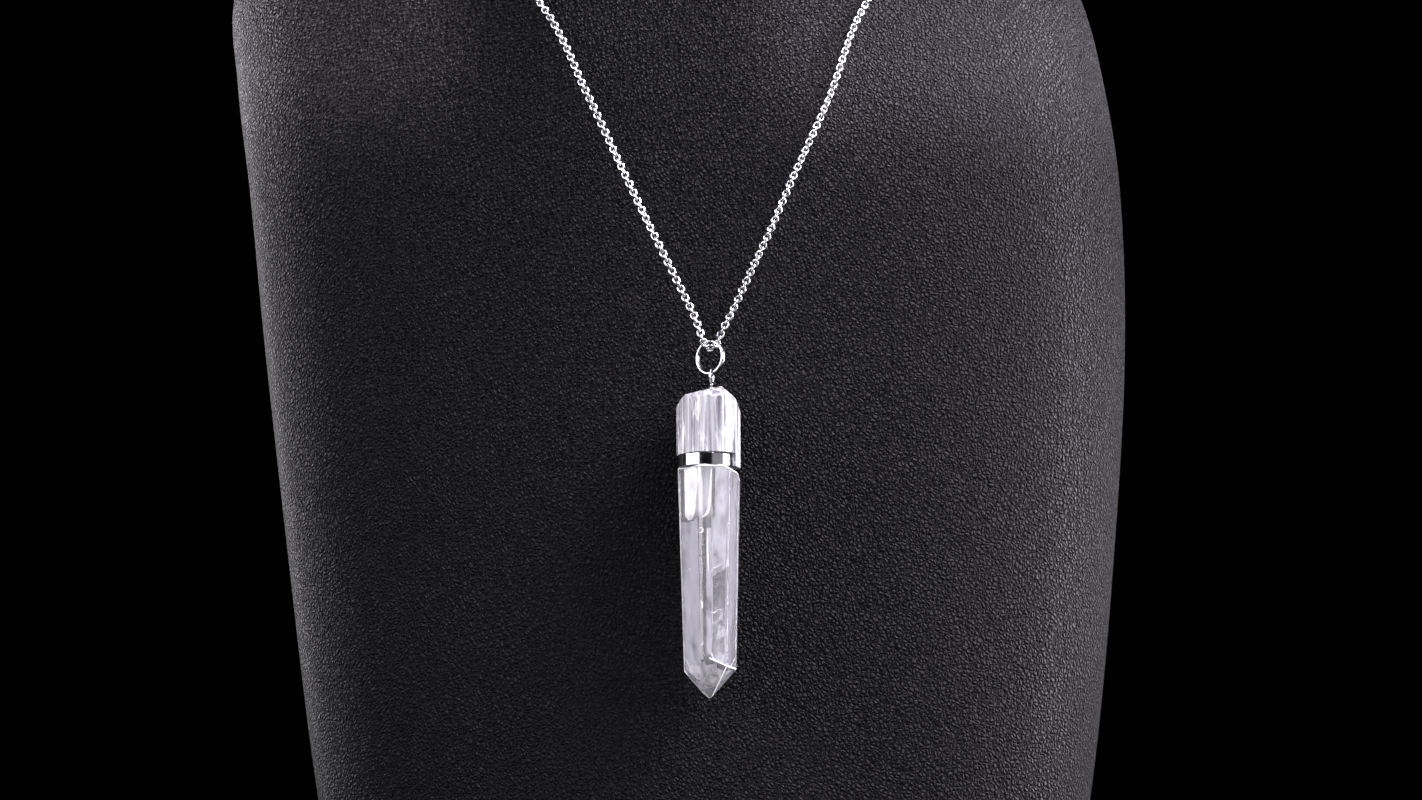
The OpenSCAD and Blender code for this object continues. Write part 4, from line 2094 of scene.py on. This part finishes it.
@dataclass
class SilverParts:
    """Collar, screw eye, jump ring and clasp, in polished silver."""

    skin: BustSkin
    collar: Collar
    frame: Matrix
    cap_depth: float = 14.4
    collar_edge: float = 0.18
    point_post_r: float = 2.05
    point_post_len: float = 11.0
    cap_post_r: float = 1.6
    cap_post_len: float = 5.0
    eye_x: float = 0.6
    eye_z: float = 2.4
    eye_az: float = 75.0
    eye_r: float = 1.5
    eye_wire: float = 0.56
    stem_r: float = 0.34
    stem_len: float = 3.0
    foot_r: float = 0.75
    foot_h: float = 0.4
    foot_play: float = 0.1
    ring_x: float = 0.4
    ring_z: float = 6.47
    ring_az: float = -41.0
    ring_r: float = 3.42
    ring_t: float = 0.5
    ring_w: float = 1.2
    ring_edge: float = 0.14
    clasp_r: float = 2.6
    clasp_wire: float = 1.1
    clasp_end_r: float = 0.95
    clasp_end_wire: float = 0.5
    clasp_z: float = 276.0
    clasp_off: float = 1.05
    solder: float = 0.1
    flat_crease: float = 20
    wire_crease: float = 40

    def band(self) -> Piece:
        """The collar with its posts up into the cap and down into the point.

        Returns:
            The piece.
        """
        c, half = self.collar, self.collar.height / 2
        middle = -self.cap_depth - c.seat - half
        step, edge = self.collar_edge / 3, self.collar_edge
        rim = [(c.radius - edge, -half)]
        rim += [(c.radius - edge / 3, step - half), (c.radius, edge - half)]
        rim += [(c.radius, half - edge), (c.radius - edge / 3, half - step)]
        rim += [(c.radius - edge, half)]
        body = turned("collar", [(r, middle + z) for r, z in rim], (c.middle_x, 0.0), 144)
        centre = (c.bore_x, c.bore_y)
        top = middle + half + self.cap_post_len
        upper = turned("post", [(self.cap_post_r, middle), (self.cap_post_r, top)], centre)
        low = middle - half - self.point_post_len + self.point_post_r
        r = self.point_post_r
        lower = turned("pin", [*round_end(r, low, 8), (r, low), (r, middle)], centre)
        return join([body, upper, lower], "collar_band")

    def eye(self) -> Piece:
        """The screw eye with its stem and foot.

        Returns:
            The piece.
        """
        place = shift(self.eye_x, 0, self.eye_z) @ turn_deg(self.eye_az, "Z") @ turn_deg(90, "X")
        loop = hoop("loop", round_wire(self.eye_r, self.eye_wire), place, 48)
        top = self.eye_z - self.eye_r
        stem = [(self.stem_r, -self.stem_len), (self.stem_r, top)]
        foot = [(self.foot_r, self.foot_play), (self.stem_r, self.foot_play + self.foot_h)]
        centre = (self.eye_x, 0.0)
        shank = turned("stem", stem, centre, 20)
        flange = turned("foot", foot, centre, 28)
        return join([loop, shank, flange], "screw_eye_wire")

    def jump_ring(self) -> Piece:
        """The flat jump ring.

        Returns:
            The piece.
        """
        place = shift(self.ring_x, 0, self.ring_z) @ turn_deg(self.ring_az, "Z")
        section = flat_stock(self.ring_r, self.ring_t, self.ring_w, self.ring_edge)
        return hoop("jump_ring_band", section, place @ turn_deg(90, "X"), 96)

    def clasp(self) -> Piece:
        """The plain ring clasp behind the neck, with an end ring at each side.

        Returns:
            The piece.
        """
        x, y, z = self.skin.above(180, self.clasp_z, self.clasp_off)
        reach = self.clasp_r + self.clasp_wire / 2 + self.clasp_end_r - self.solder
        rings = [hoop("middle", round_wire(self.clasp_r, self.clasp_wire, 16), shift(0, 0, 0))]
        section = round_wire(self.clasp_end_r, self.clasp_end_wire)
        rings += [hoop("end", section, shift(side * reach, 0, 0), 40) for side in (-1, 1)]
        whole = join(rings, "ring_clasp")
        whole.matrix_world = shift(x, y, z) @ turn_deg(90, "X")
        return whole

    def build(self) -> None:
        """Makes and dresses every silver part."""
        silver = SilverFinish(
            "Polished silver", (0.50, 0.50, 0.52), (0.34, 0.34, 0.36), smooth=0.14, rough=0.26,
            per_m=2600,
        ).build()
        band = (self.band(), "band", self.flat_crease)
        eye = (self.eye(), "screw_eye", self.wire_crease)
        for piece, node, angle in (band, eye):
            piece.matrix_world = self.frame
            smooth_shade(piece, angle)
            finish_piece(piece, Slot.SILVER, [silver], node)
        ring = self.jump_ring()
        ring.matrix_world = self.frame @ ring.matrix_world
        for piece, node in ((ring, "jump_ring"), (self.clasp(), "clasp")):
            smooth_shade(piece, self.wire_crease)
            finish_piece(piece, Slot.SILVER, [silver], node)


# Studio


class Softbox(NamedTuple):
    """A soft light: its direction from the pendant, distance, size and brightness."""

    name: str
    azimuth: float
    elevation: float
    distance: float
    width: float
    height: float
    brightness: float
    tint: Colour = (0.965, 0.94, 1.0)

    def power(self) -> float:
        """Watts that give the brightness over the whole area."""
        return self.brightness * math.pi * self.width * self.height


SOFTBOXES = (
    Softbox("left_front", -60, 14, 0.9, 0.95, 0.50, 6.6),
    Softbox("left_back", -138, 0, 0.9, 0.50, 0.60, 4.5),
    Softbox("left_back_high", -125, 22, 1.0, 0.40, 0.30, 9.5),
    Softbox("left_top", -88, 31, 1.0, 0.80, 0.26, 7.0),
    Softbox("front_low", 8, -3, 0.6, 0.90, 0.16, 2.0),
    Softbox("right_front", 52, 14, 0.9, 0.90, 0.80, 0.6),
    Softbox("right_top", 45, 50, 1.0, 0.70, 0.55, 12.0),
    Softbox("right_middle", 86, 12, 0.9, 0.25, 0.50, 14.0),
    Softbox("right_side", 112, 3, 0.9, 0.40, 0.66, 15.6),
    Softbox("right_back_low", 130, -4, 0.9, 0.40, 0.30, 2.2),
    Softbox("right_high", 90, 50, 1.0, 0.60, 0.50, 19.0),
)


@dataclass
class Studio:
    """Camera, soft lights, dark surround and pale floor."""

    aim: Vector = Vector((0.0, -0.047, 0.12))
    camera_place: tuple[float, float, float] = (-0.02586, -0.79655, 0.1381)
    camera_yaw: float = 2.0
    lens: float = 90.57
    sensor: float = 36.0
    floor_half: float = 0.42
    floor_corner: float = 0.05
    corner_steps: int = 8
    surround: float = 0.001
    contrast: float = 0.8

    def camera(self) -> None:
        """Places the camera level, in front of the bust."""
        data = bpy.data.cameras.new("camera")
        data.lens = self.lens
        data.sensor_width = self.sensor
        data.clip_start, data.clip_end = 0.01, 20.0
        camera = bpy.data.objects.new("camera", data)
        camera.location = self.camera_place
        camera.rotation_euler = (math.pi / 2, 0, -math.radians(self.camera_yaw))
        bpy.context.scene.collection.objects.link(camera)
        bpy.context.scene.camera = camera

    def light(self, box: Softbox) -> None:
        """Places one softbox, turned to the pendant.

        Args:
            box: the light's row.
        """
        way = Vector(direction(box.azimuth, box.elevation))
        data = bpy.data.lights.new(box.name, "AREA")
        data.shape = "RECTANGLE"
        data.size, data.size_y = box.width, box.height
        data.energy = box.power()
        data.color = box.tint
        lamp = bpy.data.objects.new(box.name, data)
        lamp.location = self.aim + way * box.distance
        lamp.rotation_euler = way.to_track_quat("Z", "Y").to_euler()
        lamp.visible_camera = False
        bpy.context.scene.collection.objects.link(lamp)

    def floor(self) -> None:
        """Makes the pale floor with rounded corners."""
        rim = []
        inner = self.floor_half - self.floor_corner
        for quarter in range(4):
            for step in range(self.corner_steps + 1):
                a = math.pi / 2 * (quarter + step / self.corner_steps)
                sign_x = 1 if quarter in (0, 3) else -1
                sign_y = 1 if quarter in (0, 1) else -1
                x = sign_x * inner + self.floor_corner * math.cos(a)
                y = sign_y * inner + self.floor_corner * math.sin(a)
                rim.append((x / MM, y / MM, 0.0))
        floor = mesh_piece("floor", np.array(rim), [tuple(range(len(rim)))])
        floor.data.materials.append(FloorFinish().build())

    def world(self) -> None:
        """Gives the room its even, dark surround, and the picture its contrast."""
        world = bpy.data.worlds.new("surround")
        world.use_nodes = True
        background = next(n for n in world.node_tree.nodes if n.type == "BACKGROUND")
        background.inputs["Color"].default_value = (self.surround,) * 3 + (1.0,)
        bpy.context.scene.world = world
        bpy.context.scene.view_settings.view_transform = "Standard"
        bpy.context.scene.view_settings.gamma = self.contrast

    def build(self) -> None:
        """Sets up the whole studio."""
        self.camera()
        self.world()
        self.floor()
        for box in SOFTBOXES:
            self.light(box)
        log.info("studio: %d softboxes", len(SOFTBOXES))


def main() -> None:
    """Loads the frame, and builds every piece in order."""
    logging.basicConfig(level=logging.INFO, format="%(name)s %(message)s")
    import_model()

    Studio().build()
    skin = BustSkin()
    NeckBust(skin).build()
    CableChain(skin).build()

    hang = Hang().frame(skin)
    collar = Collar()
    cap = CapStone(collar, hang)
    cap.build()
    point = PointStone(collar, hang, cap.depth)
    point.build()
    InnerVeils(point.stone(), hang).build()
    SilverParts(skin, collar, hang, cap.depth).build()


if __name__ == "__main__":
    main()
